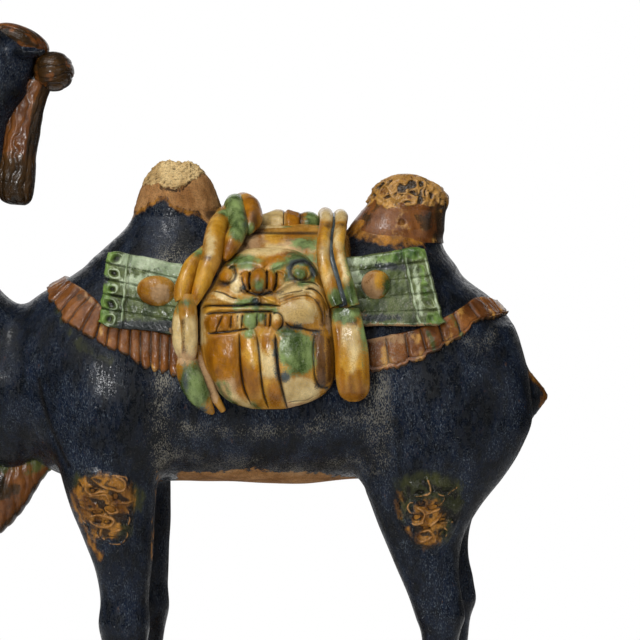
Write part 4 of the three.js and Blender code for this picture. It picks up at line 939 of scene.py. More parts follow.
# What the glaze does on each board: pale and thin, bright green, pooled blue-black, bare.
GREEN_RUNS = {
    "fore": dict(pale=[(-132, 506, 40, 9), (-112, 494, 24, 9), (-146, 486, 16, 7)],
                 bright=[(-177, 512, 12, 9), (-179, 476, 7, 36), (-106, 446, 12, 8), (-181, 451, 9, 8)],
                 blue=[(-142, 442, 34, 7), (-112, 444, 16, 5), (-178, 488, 5, 5)],
                 clay=[(-100, 438, 10, 4)]),
    "aft": dict(pale=[(70, 506, 26, 4), (60, 490, 12, 8), (2, (122, 500), (127, 455)), (60, 449, 14, 7)],
                bright=[(122, 515, 20, 7), (98, 509, 12, 4), (2, (128, 500), (132, 470)),
                        (140, 450, 8, 6)],
                blue=[(100, 500, 14, 3), (90, 451, 20, 3)],
                clay=[(52, 474, 7, 32), (96, 443, 60, 1.8), (60, 455, 9, 4)]),
}
BOARD_GRID = {"left": 150, "right": 76}  # points along each edge; the far flank is plainer
BOARD_WORN = [(-130, 505, 40, 14), (110, 460, 40, 20)]
BOSS_PAINT = {
    "fore": dict(amber=[(3, (-142, 483), (-144, 473), (-134, 464))], clay=[(-123, 475, 10, 9)]),
    "aft": dict(green=[(95, 482, 5, 11)], yellow=[(90, 487, 8, 9)], clay=[(80, 482, 13, 14)],
                amber=[(1.5, (80, 491), (75, 485))]),
}
for side, flank in FLANKS:
    for end, corners, boss_at, seed, deep in (
            ("fore", FORE_BOARD, FORE_BOSS, 2, 0.85), ("aft", AFT_BOARD, AFT_BOSS, 5, 0.5)):
        front, back, hollow, pale = board(corners, side, seed + side, deep, BOARD_GRID[flank])
        points, faces = stitched(front, back)
        behind = len(points) - hollow.size
        marks = painted(points, **GREEN_RUNS[end])
        marks["hollow"] = np.append(hollow, np.zeros(behind))
        marks["pale"] = np.maximum(marks["pale"], np.append(pale * 3 - 1.7, np.full(behind, NOWHERE)))
        marks["wear"] = np.clip(cover(in_parts(points), *BOARD_WORN) / 3, 0.1, 1) * 0.7
        piece(f"{end}_board_{flank}", points, faces, green_glaze, **marks)

        # Boss: a ball of clay pressed on, with a dark joint round it.
        bx, bz, wide, high = boss_at
        t = np.linspace(0, 1, 40)[:, None]
        turn = np.linspace(0, 2 * np.pi, 76, endpoint=False)[None]
        r, rise = np.sin(t * np.pi * 0.62), np.cos(t * np.pi * 0.62)
        lump = 1 + 0.03 * np.sin(2 * turn + seed) + 0.02 * np.sin(3 * turn)
        grid = place(spot(bx + wide * r * np.cos(turn) * lump, (board_face(bz) - BOSS_RISE * rise) * -side,
                          bz + high * r * np.sin(turn) * lump))
        dents = waves(grid, 0.02, seed, 2) * 0.0005 + waves(grid, 0.005, seed, 2) * 0.0002
        grid += dents[..., None] * Y
        points, *faces = closed(grid)
        joint = soft((np.append(t * np.ones_like(turn), [0, 1]) - 0.7) / 0.1)
        marks = painted(points, **BOSS_PAINT[end]) | {"hollow": joint, "wear": 0.25}
        piece(f"{end}_boss_{flank}", points, faces, load_glaze, **marks)

# ---- Pack bag with its monster mask
# A flat round-bottomed bag on each flank, its front pressed in a mould as a guardian mask:
# arched brows, ball eyes, a ridged snout, swollen cheeks, a row of teeth under the lip and
# a beard parted by three deep furrows. The glazes ran over it in patches.
# Top to bottom: z, x of the front edge, x of the back edge, y of the inside, y of the outside.
BAG = [
    (519, -34, -8, -68, -82), (517, -43, 4, -68, -90), (512, -53, 15, -70, -98),
    (504, -62, 23, -72, -107), (496, -67, 28, -76, -113), (487, -72, 31, -78, -118),
    (478, -78, 35, -80, -122), (468, -84, 37.5, -80, -126), (454, -86, 40.5, -80, -130),
    (440, -86, 43, -80, -133), (421, -85, 45, -80, -136), (402, -81.5, 45, -80, -136),
    (388, -73, 42, -80, -132), (377, -65, 33, -82, -127), (369, -54, 17, -86, -119),
    (363.5, -36, -3, -92, -110),
]
BAG_SQUARE = 3.0
# Raised lines of the mask: path in x and z, half-width, height.
MASK_RIDGES = [
    ([(-64.6, 496.9), (-58.8, 506.5), (-48.2, 513.9), (-34.4, 516), (-24.8, 512.9)], 5, 2.6),  # left brow
    ([(-51.4, 502.8), (-38.6, 505.4), (-28, 502.8), (-24.8, 499)], 4, 2.2),  # left brow, inner
    ([(-14.7, 499), (-5.7, 503.8), (6, 508.1), (16.7, 508.1), (24.1, 501.2),
      (26.2, 490.5)], 3.2, 3.6),  # right brow
    ([(-82.2, 470.3), (-73.7, 475.6), (-63, 474.6), (-53.5, 470.3),
      (-46, 467.1)], 2.6, 2.6),  # left cheek, upper fold
    ([(-83.8, 461.8), (-77.9, 469.3), (-67.3, 469.8), (-53.5, 466.1),
      (-38.6, 466.1)], 2.4, 2.8),  # left cheek, middle fold
    ([(-81.1, 452.3), (-77.9, 457.6), (-67.3, 460.2), (-49.2, 460.5), (-30.1, 460.5),
      (-13.1, 459.9)], 2, 3),  # lip
    ([(-84.3, 429.9), (-84.8, 445.9), (-83.2, 457.6)], 2, 1.6),  # left cheek's edge
    ([(-12, 476.2), (-2.5, 483.1), (8.2, 486.1), (20.9, 483.1), (30.5, 475.6), (36.3, 465),
      (38.4, 453.3)], 2.4, 3.2),  # right cheek, upper fold
    ([(-8.8, 470.3), (1.8, 475.6), (13.5, 477.8), (23, 475.6), (30.5, 468.2),
      (33.7, 457.6)], 2, 2.6),  # right cheek, second fold
    ([(-8.8, 464), (-0.3, 468.7), (11.3, 470.9), (20.9, 469.3),
      (27.3, 462.9)], 2, 2),  # right cheek, third fold
    ([(-11.5, 496.4), (-6.7, 495.8), (-3.5, 492.7), (-5.1, 488.9)], 1.3, 2.4),  # curl right of the snout
    ([(-35.9, 466.6), (-33.8, 470.3), (-29, 470.9), (-27.4, 467.7),
      (-30.1, 464.5)], 1.1, 2.6),  # curls under the snout
    ([(-24.8, 472.5), (-19.5, 469.8), (-12, 466.6)], 1.8, 2.6),  # barb under the snout
    ([(-43.9, 516), (-25.9, 515), (-8.8, 515.5), (5, 512.9)], 3.5, 1.3),  # forehead
    ([(-40.7, 435.2), (-37.5, 439), (-32.8, 439), (-31.7, 435.2), (-35.4, 433.7)], 1, 2),  # tassel curls
]
# Cut lines: path, half-width, depth.
MASK_GROOVES = [
    ([(-73.7, 477.2), (-63, 475.1), (-54.5, 470.9), (-48.2, 469.5)], 0.9, 2.4),  # left cheek's upper cut
    ([(-83.2, 459.7), (-77.9, 462.7), (-62, 462.7), (-48.2, 462.9), (-34.4, 464.2), (-19.5, 463.7),
      (-8.3, 462.7)], 1.3, 3.8),  # mouth
    ([(-80.6, 454.6), (-72.6, 456), (-59.9, 456.3), (-46, 457), (-30.1, 457.6), (-19.5, 457.6),
      (-12.6, 456.5)], 1, 3),  # under the lip
    ([(-76.9, 436.3), (-63, 437.8), (-51.4, 439.1), (-38.6, 441.4)], 1.2, 3.2),  # under the teeth
    ([(-62.5, 454.2), (-66, 445.9), (-69.6, 437.4)], 0.8, 2.2),  # first tooth
    ([(-54.3, 454.2), (-55, 440.6)], 0.8, 2.2),  # second tooth
    ([(-48, 454.6), (-48.8, 447.5)], 0.7, 1.4),  # third tooth
    ([(-43.7, 454.9), (-44.8, 441.6)], 0.8, 2),  # fourth tooth
    ([(-29.9, 456.5), (-30.1, 442.7)], 0.8, 1.6),  # fifth tooth
    ([(-21.4, 455.4), (-22, 443.2)], 0.7, 1.6),  # sixth tooth
    ([(-17.1, 456), (-17.8, 442.7)], 0.9, 2.6),  # last tooth
    ([(-15.2, 455.4), (-9.9, 456), (-5.7, 452.3), (-5.4, 444.8),
      (-9.9, 440.6)], 0.9, 2),  # round the last tooth
    ([(-46.7, 436.8), (-46.3, 423.6), (-45.8, 410.8), (-44.4, 397), (-42, 383.2),
      (-35.9, 368.3)], 1.2, 3.6),  # first furrow
    ([(-30.1, 434.2), (-28.2, 421.4), (-27.1, 408.7), (-25.9, 394.8), (-23.7, 378.9),
      (-18.9, 363)], 1.2, 3.8),  # second furrow
    ([(-12.6, 435.2), (-11.4, 423.6), (-10.5, 409.7), (-8.3, 393.8), (-4.8, 377.8),
      (-1.2, 364)], 1.5, 4.2),  # third furrow
    ([(-82, 434.2), (-80.1, 418.2), (-76.3, 402.3), (-70, 387.4), (-58.8, 374.6),
      (-46, 367.2)], 0.8, 1.2),  # bag's left welt
    ([(25.2, 435.2), (23.6, 424.6), (24.1, 408.7), (25.2, 394.8), (29.4, 386.3), (35.8, 384.7),
      (42.7, 387.4)], 1, 2.4),  # flap's edge
    ([(-1.4, 370.2), (6, 371.7), (16.7, 372.5), (25.2, 376.8)], 0.8, 1.6),  # lower seam
    ([(-44.8, 491.1), (-43.9, 485.2), (-40.7, 478.3)], 1, 2.8),  # left snout roll
    ([(-37.1, 495.3), (-37.8, 487.3), (-37.3, 477.8)], 1.1, 3.6),  # left snout cut
    ([(-21, 497.1), (-20.3, 488.4), (-20.7, 478.8)], 1.1, 3.6),  # right snout cut
    ([(-11.4, 494.8), (-11.8, 485.2), (-14.7, 477.2)], 1.3, 3.6),  # right snout roll
    ([(-42.9, 478.8), (-34.4, 474.4), (-24.8, 473.7), (-15.2, 476.5)], 1.5, 3),  # under the snout
    ([(11.3, 485), (18.8, 485.4), (25.2, 483.9), (29.9, 480.4)], 0.8, 2.4),  # right cheek's first cut
    ([(15.6, 478.2), (23, 478.8), (30.5, 473.5), (35.3, 465),
      (37.9, 456.5)], 1, 3),  # right cheek's second cut
    ([(-7.8, 472.7), (1.8, 475.4), (10.3, 476.7), (14.5, 477.8)], 0.8, 1.6),  # right cheek's third cut
    ([(-8.8, 466.1), (-0.3, 469.3), (11.3, 472.5), (20.9, 471.4), (28.4, 465), (32.1, 455.4),
      (33.1, 446.9)], 0.8, 1.8),  # right cheek's fourth cut
    ([(-3.5, 448), (1.8, 443.2), (12.4, 441.6), (20.9, 439.5),
      (31.5, 439)], 1.3, 2.4),  # under the right cheek
    ([(20.9, 504.9), (26.2, 498), (28.4, 490.5)], 1, 2.2),  # right eye's outer corner
    ([(-57.7, 498), (-52.4, 500.6), (-50.3, 493.7)], 0.9, 2),  # brow's upper line
]
# Balls and teeth: x, z, half-width, half-height, height. Cheeks are the same, with soft
# edges, and so are pits, with a depth.
MASK_DOMES = [
    (-60.4, 492.1, 7.7, 7, 7.5),  # left eye
    (10.8, 493.7, 7, 6.4, 6.5),  # right eye
    (-49.8, 484.7, 7.4, 9.6, 4.5),  # left wing of the snout
    (-41.6, 485.7, 5.1, 10.6, 7.5),  # left snout
    (-29, 486.8, 8.5, 12.5, 10.5),  # middle of the snout
    (-16.5, 486.8, 4.9, 10.6, 8.5),  # right snout
    (-7.8, 486.3, 4.3, 6.4, 4),  # right wing of the snout
    (-72.1, 445.3, 7.7, 8.3, 3),  # first tooth
    (-60.1, 447.2, 4.9, 7.2, 3),  # second tooth
    (-51.4, 447.8, 3.4, 7, 2.6),  # third tooth
    (-46.3, 447.5, 2.3, 7.4, 2.6),  # fourth tooth
    (-37, 448.5, 7, 7.7, 3.2),  # fifth tooth
    (-25.6, 449.9, 4, 6.8, 3),  # sixth tooth
    (-19.5, 449.6, 2.1, 6.8, 2.4),  # seventh tooth
    (-11.2, 448.2, 5.3, 7.7, 5.5),  # last tooth
    (32.6, 410.8, 9, 25.5, 2.4),  # flap
    (-36.5, 436.8, 5.3, 3.2, 1.6),  # tassel
]
MASK_CHEEKS = [(-65, 473, 24, 10, 3.4), (11, 457, 25, 17, 5), (26, 468, 15, 18, 2.4)]
MASK_PITS = [
    (12.4, 496.4, 12.5, 10.6, 3.4),  # right eye's socket
    (-60.4, 492.7, 11.2, 10.1, 2),  # left eye's socket
    (-19.5, 475.9, 7.4, 3, 2.4),  # under the snout
    (-38.6, 436.8, 6.4, 3.8, 2.2),  # between the teeth and the beard
    (-3.5, 395.4, 3.8, 4.3, 1.4),  # hole low on the beard
]
SOCKETS = MASK_PITS[:2]
UNDER_TEETH = 438
BEARD_LOCKS = [(-63, 17), (-36, 9), (-18, 9), (7, 17), (36, 12)]  # x and half-width of each
MASK_DEPTH = 1.15
# Where each glaze lies on the bag: spots and brush strokes.
MASK_PAINT = dict(
    cream=[
        (5, (-49.2, 516), (-28, 513.9), (-3.5, 516), (5, 509.7)), (-50.3, 484.1, 7.4, 9.6),
        (3, (-69.4, 475.1), (-58.8, 469.3), (-49.2, 465.5)), (-25.9, 412.9, 9.6, 17),
        (6, (-23.7, 424.6), (-19.5, 414), (-17.3, 400.2)), (4, (-19.5, 419.3), (-15.2, 406.5)),
        (10.3, 382.1, 20.2, 12.8), (10.8, 457.6, 18.1, 11.7),
        (4, (-8.8, 472.5), (1.8, 479.9), (15.6, 483.1), (25.2, 479.9)), (-12, 452.3, 3.6, 4.3),
        (2, (-46.6, 454.4), (-48.2, 446.9)), (2, (-25.9, 455.4), (-24.3, 448)), (12.4, 478.8, 13.8, 6.4),
        (4, (-62, 384.2), (-48.2, 372.5), (-36.5, 366.1)), (-1.4, 483.1, 6.4, 7.4),
        (5, (-83.8, 429.9), (-84.8, 444.8), (-82.2, 459.7), (-72.6, 464))
    ],
    clay=[
        (-58.8, 384.2, 11.7, 13.8), (12.4, 452.3, 13.8, 7.4),
        (3, (26.2, 373.6), (8.2, 369.3), (-0.3, 367.2)), (3, (-87.5, 410.8), (-79, 394.8)),
        (37.9, 449.1, 3.2, 9.6), (-0.3, 478.8, 11.7, 4.3), (12.4, 374.6, 17, 5.3),
        (1, (6, 496), (12, 499), (15, 494))
    ],
    yellow=[
        (-35.9, 420.4, 5.8, 11.7), (4, (-32.2, 419.3), (-28, 403.4)), (-77.9, 461.8, 6.4, 6.4),
        (-17.3, 469.3, 5.3, 3.2), (-69.4, 464, 11.7, 3.2), (-19.5, 380, 6.4, 11.7), (26.2, 397, 4.3, 7.4),
        (3, (-82.2, 457.6), (-68.4, 459.7), (-53.5, 460.8)), (3, (-25.9, 437.4), (-21.6, 419.3)),
        (-28, 509.7, 5.3, 2.1)
    ],
    amber=[
        (-63, 416, 16, 24), (-34, 392, 7, 15), (-22, 428, 5, 8), (-13, 378, 7, 12),
        (4, (-2.5, 511.8), (-13.1, 508.1), (-23.7, 503.8)), (-43.9, 394.8, 7.4, 18.1),
        (-59.9, 447.5, 9.6, 6.4), (-72.6, 446.9, 8.5, 7.4), (-62, 490.5, 5.3, 5.3),
        (6, (-30.1, 495.8), (-29, 478.8)), (4, (-41.8, 493.7), (-41.3, 479.9)),
        (4, (-15.8, 494.8), (-16.8, 478.8)), (-9.9, 444.8, 4.3, 4.3),
        (2.4, (-20.5, 454.4), (-19.5, 443.8)), (3, (-42.9, 435.2), (-43.9, 423.6))
    ],
    brown=[
        (6, (28.4, 432.1), (30.5, 410.8), (31.5, 390.6)), (3, (37.9, 429.9), (39, 392.7)),
        (2, (28.4, 466.1), (32.6, 455.4), (33.7, 445.9)), (1.8, 512.9, 5.3, 2.1),
        (2.4, (-67.3, 483.6), (-58.8, 483.1))
    ],
    green=[
        (-43.9, 505.9, 15.9, 6.4), (17.7, 516, 11.7, 8.5),
        (4, (-13.1, 499), (-3.5, 504.3), (10.3, 509.7), (20.9, 505.4)), (10.8, 493.7, 7, 6.4),
        (3, (-1, 488), (2, 500), (12, 504), (23, 497), (22, 487), (10, 484)),
        (4, (-47.1, 466.1), (-34.4, 467.7), (-30.1, 461.8)),
        (2.4, (-51.4, 461.8), (-34.4, 462.9), (-13.1, 459.2)), (-36.5, 449.1, 8, 8.5),
        (-25.9, 452.3, 5.3, 5.3), (7.1, 421.4, 17.5, 18.6), (-0.3, 437.4, 10.6, 6.4),
        (12.4, 409.7, 13.8, 11.7), (5, 401.2, 7.4, 4.3), (1.6, (-34.4, 368.3), (-28, 364)),
        (-37.5, 437.4, 5.3, 4.3), (2, (-53.5, 500.1), (-34.4, 500.1)), (-29, 483.1, 4.3, 5.3),
        (1.6, (-60.9, 388.5), (-56.7, 380)), (2, (-67.3, 388.5), (-62, 376.8), (-51.4, 368.3))
    ],
    # Blue sits in the right eye's socket, the pits under the snout and on the beard, the third furrow and
    # the grooves under the cheek and by the flap: dark blue glaze, and painted shade in these recesses.
    blue=[
        (2.6, (0, 499), (6, 504.5), (15, 505.5), (22, 500), (24, 492)),
        (1.2, (-0.3, 501), (0, 490), (6, 486)), (-4.1, 395.4, 4.5, 4.5), (-19.5, 475.6, 7.4, 2.3),
        (-42.9, 479.9, 2.8, 3.2), (5, 442.7, 9.6, 2.8), (26.2, 438.4, 6.4, 1.7),
        (1, (28.4, 386.3), (36.9, 384.2)), (-30.1, 466.6, 5.3, 4.3),
        (1.8, (-12.6, 429.9), (-11.5, 408.7), (-8.8, 392.7))
    ],
)


def line_share(x, z, path, half):
    """exp(-(s/half)^2), s the distance to a smooth path, thinning at the path's two ends."""
    off, where = off_path(x, z, path)
    thin = 0.35 + 0.65 * np.minimum(1, np.minimum(where, 1 - where) / 0.14)
    return np.exp(-(off / (half * thin)) ** 2) * (0.4 + 0.6 * thin)


def mask_relief(x, z, seed):
    """Height of the mask over the bag, in parts, how deep in shade each point lies, and how
    far it stands over what is round it, where glaze runs thin."""
    height = np.zeros(np.shape(x))
    for a, b, wide, high, deep in MASK_PITS:
        height -= deep * soft(1.25 - np.hypot((x - a) / wide, (z - b) / high))
    for a, b, wide, tall, high in MASK_CHEEKS:
        height += high * soft(1.1 - np.hypot((x - a) / wide, (z - b) / tall))
    for path, half, high in MASK_RIDGES:
        height = np.maximum(height, height * 0.4 + high * line_share(x, z, path, half))
    for a, b, wide, tall, high in MASK_DOMES:
        swell = np.sqrt(np.clip(1 - ((x - a) / wide) ** 2 - ((z - b) / tall) ** 2, 0, 1)) * high
        height = np.where(swell > 0, np.maximum(height, swell + np.minimum(height, 0) * 0.3), height)
    beard = soft((UNDER_TEETH - z) / 4) * soft((z - 362) / 12)
    lean = (UNDER_TEETH - z) * 0.09
    pillow = np.max([np.clip(1 - ((x - a - lean) / w) ** 2, 0, 1) for a, w in BEARD_LOCKS], axis=0)
    height += 1.8 * beard * pillow
    shade = np.zeros(np.shape(x))
    for path, half, deep in MASK_GROOVES:
        share = line_share(x, z, path, half)
        height -= deep * share
        shade = np.maximum(shade, line_share(x, z, path, half * 0.8) * min(1, deep / 2.4))
    for a, b, wide, high, deep in SOCKETS:
        r = np.hypot((x - a) / wide, (z - b) / high)
        shade = np.maximum(shade, np.exp(-((r - 0.86) / 0.2) ** 2) * 0.8)
    round_it = height
    for _ in range(3):
        round_it = sum(np.roll(round_it, k, a) for a in (0, 1) for k in (-2, 0, 2)) / 6
    over = height - round_it
    height += 0.3 * waves(spot(x, 0, z) * PART, 0.02, seed, 3)
    return height * MASK_DEPTH, np.clip(np.maximum(shade, -over * 0.5), 0, 1), np.clip(over, 0, 2)


def face_crowded(sides, wide, deep, crowd):
    """Cosine and sine of a squarer ellipse at even steps of its length, but with steps
    `crowd` times shorter on its outer half."""
    turn = np.linspace(0, 2 * np.pi, 6001)
    across, out = pushed(np.cos(turn), BAG_SQUARE), pushed(np.sin(turn), BAG_SQUARE)
    length = np.hypot(np.diff(across) * wide, np.diff(out) * deep) * np.where(out[1:] < 0, crowd, 1)
    run = np.append(0, np.cumsum(length))
    at = np.linspace(0, run[-1], sides, endpoint=False)
    return np.interp(at, run, across), np.interp(at, run, out)


def bag(side, rows_count, sides):
    """Level rings from top to bottom, their outer half drawn closer together and carried
    out by the mask's relief."""
    z, front, back, inside, outside = between(BAG, rows_count).T
    middle, wide = (front + back) / 2, (back - front) / 2
    across, out = face_crowded(sides, 64, 28, 3.5)
    x = middle[:, None] + wide[:, None] * across
    y = (inside + outside)[:, None] / 2 + (inside - outside)[:, None] / 2 * out
    z = np.broadcast_to(z[:, None], x.shape)
    height, shade, over = mask_relief(x, z, 20 + side)
    share = soft((-out + 0.05) / 0.5) * (1 - 0.6 * np.abs(across) ** 8)
    ends = np.minimum(1, np.minimum(np.arange(rows_count), np.arange(rows_count)[::-1]) / 8)[:, None]
    return place(spot(x, (y - height * share * ends) * -side, z)), shade * share, over * share


def flat(values):
    """Values of a grid's points, then its two end points', as `closed` lists them."""
    return np.append(values.ravel(), [values.ravel()[0], values.ravel()[-1]])


BAG_WORN = [(10, 455, 24, 18), (0, 378, 30, 16)]
BAG_GRID = {"left": (236, 280), "right": (118, 150)}  # rings and points round each
for side, flank in FLANKS:
    grid, shade, over = bag(side, *BAG_GRID[flank])
    points, *faces = closed(grid)
    marks = painted(points, **MASK_PAINT)
    # Painted shade in the mask's furrows, grooves, sockets and low places.
    marks["hollow"] = flat(shade)
    marks["cream"] = np.maximum(marks["cream"], flat(over) * 1.6 - 2.0)
    marks["wear"] = np.clip(cover(in_parts(points), *BAG_WORN) / 3, 0.05, 1) * 0.5
    piece(f"pack_bag_{flank}", points, faces, load_glaze, **marks)

# ---- Hank of twisted rope and doubled cord
# Slung over the front of the pack is a hank whose thick strands cross and tuck under each
# other, over the back a doubled cord that ends in a flat tassel. Rolled from clay by hand
# and pressed on, splashed with green, cream and amber.
# Strands as points x, y, z, radius.
HANK = {
    "amber_loop": [(-50, 16, 561, 9), (-47, -8, 565, 10), (-40, -32, 560, 10.5), (-36, -52, 549, 10),
                   (-38, -64, 540, 7), (-42, -70, 533, 4)],
    "green_loop": [(-54, 6, 557, 9), (-54, -20, 563, 10.5), (-54, -44, 557, 10.5), (-51, -62, 546, 10),
                   (-50, -77, 536, 9.6), (-54, -92, 524, 8.5), (-58, -101, 514, 6), (-61, -106, 507, 2.5)],
    "cream_strand": [(-62, -30, 556, 7), (-65, -52, 549, 9), (-70, -74, 538, 10.2), (-72, -91, 524, 10.5),
                     (-74, -103, 511, 10.2), (-78, -112, 499, 9.6), (-82, -119, 487, 8.4),
                     (-87, -123, 474, 6), (-90, -124, 464, 3)],
    "amber_strand": [(-79, -84, 517, 6), (-86, -98, 510, 7), (-94, -108, 500, 8), (-99, -117, 486, 8.4),
                     (-102, -121, 474, 8.2), (-101, -122, 468, 7.4)],
    "low_strand_front": [(-97, -117, 468, 6.4), (-101, -120.5, 459, 7.8), (-103, -122.5, 447, 8.4),
                         (-103.5, -123.5, 434, 8.4), (-101, -122.5, 421, 7.6), (-98, -119, 411, 5.6)],
    "low_strand_back": [(-97, -121, 472, 8.4), (-96, -125, 458, 9), (-95, -127, 445, 8.6),
                        (-95, -127, 432, 8.4), (-95.5, -125, 419, 8), (-97, -120, 409, 6)],
    "green_tail": [(-97, -118, 413, 9), (-96, -123, 401, 11.5), (-91, -124, 388, 12), (-85, -121, 376, 10),
                   (-78, -116, 366, 6.5), (-73, -111, 360, 2.5)],
    "strap": [(-88, -114, 424, 3.5), (-84, -118, 408, 4.6), (-78, -119, 392, 5), (-71, -116, 376, 4.6),
              (-63, -109, 362, 3)],
}
CORDS = {
    "cord_front": [(35, 0, 553, 6.8), (36, -30, 552, 6.8), (36, -52, 549, 6.8), (36, -68, 543, 6.6),
                   (34, -86, 530, 6.5), (33, -101, 516, 6.5), (34, -111, 502, 6.5), (38, -119, 488, 6.6),
                   (42, -124, 474, 6.8), (46, -126, 463, 6.6)],
    "cord_back": [(50, 0, 552, 6.4), (51, -30, 551, 6.4), (51, -54, 548, 6.4), (50, -74, 538, 6.2),
                  (48, -92, 524, 6), (49, -105, 510, 6), (53, -114, 495, 6), (57, -121, 481, 6),
                  (60, -125, 470, 6), (62, -126, 463, 6)],
    # The web fills the gap between the two cords; its dark blue is painted shade of that gap.
    "cord_web": [(43, 0, 550, 4.5), (43.5, -30, 548, 4.5), (43.5, -52, 545, 4.5), (43, -70, 538, 4.5),
                 (41, -87, 525, 4.6), (41, -101, 511, 4.8), (43.5, -110, 497, 5), (47.5, -117, 483, 5.6),
                 (51, -121, 471, 6), (54, -122, 463, 6)],
}
CORD_FLUTE = 0.0009
CORD_END_PAINT = dict(
    green=[(52, 455, 14, 9), (66, 458, 10, 5), (72, 440, 4, 24)],
    brown=[(62, 449, 6, 4), (68, 452, 4, 3)],
    cream=[(59, 424, 10, 26)],
    amber=[
        (3, (46, 440), (46, 400)), (2, (73, 430), (74, 395)), (3, (50, 402), (52, 378)),
        (2.5, (59, 396), (60, 374)), (3, (67, 400), (70, 378)), (4, (54, 377), (70, 377))
    ],
    yellow=[(52, 408, 7, 18), (70, 404, 6, 16)],
)
CORD_END = [
    (54, -120, 461, 13, 6.5), (55.5, -124, 452, 14.5, 8), (57, -127, 440, 15.5, 8.8),
    (60, -128, 419, 16.2, 9), (61, -127, 398, 16.4, 9), (62, -124, 384, 15.4, 8.2),
    (62, -119, 376, 12, 6), (62, -114, 371, 5, 3),
]


def strand(rows, side, count, sides, seed):
    """Rings square to a smooth path, their radius swelling a little by hand-rolled waves."""
    x, y, z, radius = between(rows, count).T
    path = place(spot(x, y * -side, z))
    along = np.gradient(path, axis=0)
    along /= np.linalg.norm(along, axis=1)[:, None]
    u = X - along * along[:, :1]
    u /= np.linalg.norm(u, axis=1)[:, None]
    radius = radius * PART
    grid = rings(path, u, np.cross(along, u), radius, radius, radius, sides)
    swell = 1 + 0.05 * waves(grid, 0.03, seed, 3)
    return path[:, None] + (grid - path[:, None]) * swell[..., None]


STRAND_PAINT = {
    "amber_loop": dict(amber=[(-38, 556, 10, 16)], green=[(-44, 536, 9, 8)], brown=[(-34, 548, 3, 12)]),
    "green_loop": dict(green=[(-53, 558, 17, 20), (-48, 538, 11, 14)],
                       yellow=[(2.5, (-61, 546), (-59, 534), (-57, 522))],
                       blue=[(1.4, (-43, 556), (-42, 540))], amber=[(-58, 515, 9, 12)]),
    "cream_strand": dict(cream=[(4, (-70, 548), (-74, 530), (-76, 512))],
                         amber=[(3, (-92, 484), (-88, 470))], green=[(-62, 553, 7, 4)],
                         brown=[(-78, 509, 4, 2)], yellow=[(-68, 540, 8, 12), (-84, 486, 12, 22)]),
    "amber_strand": dict(yellow=[(-98, 488, 10, 22)], green=[(-86, 514, 7, 4)],
                         amber=[(2, (-106, 500), (-108, 474)), (2.5, (-92, 492), (-96, 474))]),
    "low_strand_front": dict(cream=[(-107, 436, 12, 18)], clay=[(-103, 418, 8, 10)],
                             green=[(-104, 462, 4, 6)], brown=[(1.2, (-112, 456), (-113, 430))]),
    "low_strand_back": dict(cream=[(-92, 436, 11, 18)], green=[(-98, 466, 7, 3)],
                            brown=[(1.4, (-101, 448), (-99, 420))], clay=[(-96, 416, 8, 8)]),
    "green_tail": dict(green=[(-90, 386, 15, 24)], clay=[(-97, 412, 12, 6), (3, (-80, 404), (-74, 380))],
                       blue=[(-86, 362, 10, 4), (-98, 392, 2, 10)], yellow=[(-92, 398, 4, 5)]),
    "strap": dict(clay=[(-78, 394, 12, 34)], brown=[(1.5, (-88, 420), (-84, 400), (-76, 378))]),
    "cord_front": dict(cream=[(36, 552, 14, 7), (38, 512, 8, 28)],
                       yellow=[(33, 533, 6, 12), (36, 500, 4, 10)],
                       amber=[(2, (31, 542), (29, 524)), (2, (41, 490), (43, 478))],
                       green=[(45, 470, 8, 10)], brown=[(38, 541, 3, 2)]),
    "cord_back": dict(cream=[(50, 552, 14, 7), (50, 528, 8, 12), (3, (50, 512), (54, 494), (58, 478))],
                      yellow=[(52, 530, 4, 12)], green=[(60, 474, 9, 14), (3, (55, 518), (60, 496))],
                      brown=[(61, 486, 3, 4), (52, 541, 3, 2)]),
    # Painted shade: the web between the cords is dark blue, with a pale line down it.
    "cord_web": dict(blue=[(43, 550, 30, 60), (50, 480, 30, 60)],
                     cream=[(0.5, (45, 497), (50, 480), (55, 463))]),
}
STRAND_GRID = {"left": (84, 30), "right": (60, 24)}
for side, flank in FLANKS:
    for number, (name, rows) in enumerate({**HANK, **CORDS}.items()):
        if side > 0 and name in ("amber_loop", "strap"):
            continue
        grid = strand(rows, side, *STRAND_GRID[flank], number + 20 * (side > 0))
        points, *faces = closed(grid)
        marks = painted(points, **STRAND_PAINT[name])
        marks["wear"] = np.maximum(0, waves(points, 0.05, number) - 0.4)
        piece(f"{name}_{flank}", points, faces, load_glaze, **marks)
    x, y, z, wide, deep = between(CORD_END, 76).T
    grid = rings(place(spot(x, y * -side, z)), X, Y, wide * PART, deep * PART, deep * PART, 72, SQUARE)
    turn = np.linspace(0, 2 * np.pi, 72, endpoint=False)[None]
    grid += spot(0, side * CORD_FLUTE * np.cos(5 * turn) * np.abs(np.sin(turn)), 0)
    points, *faces = closed(grid)
    piece(f"cord_end_{flank}", points, faces, load_glaze, **painted(points, **CORD_END_PAINT))

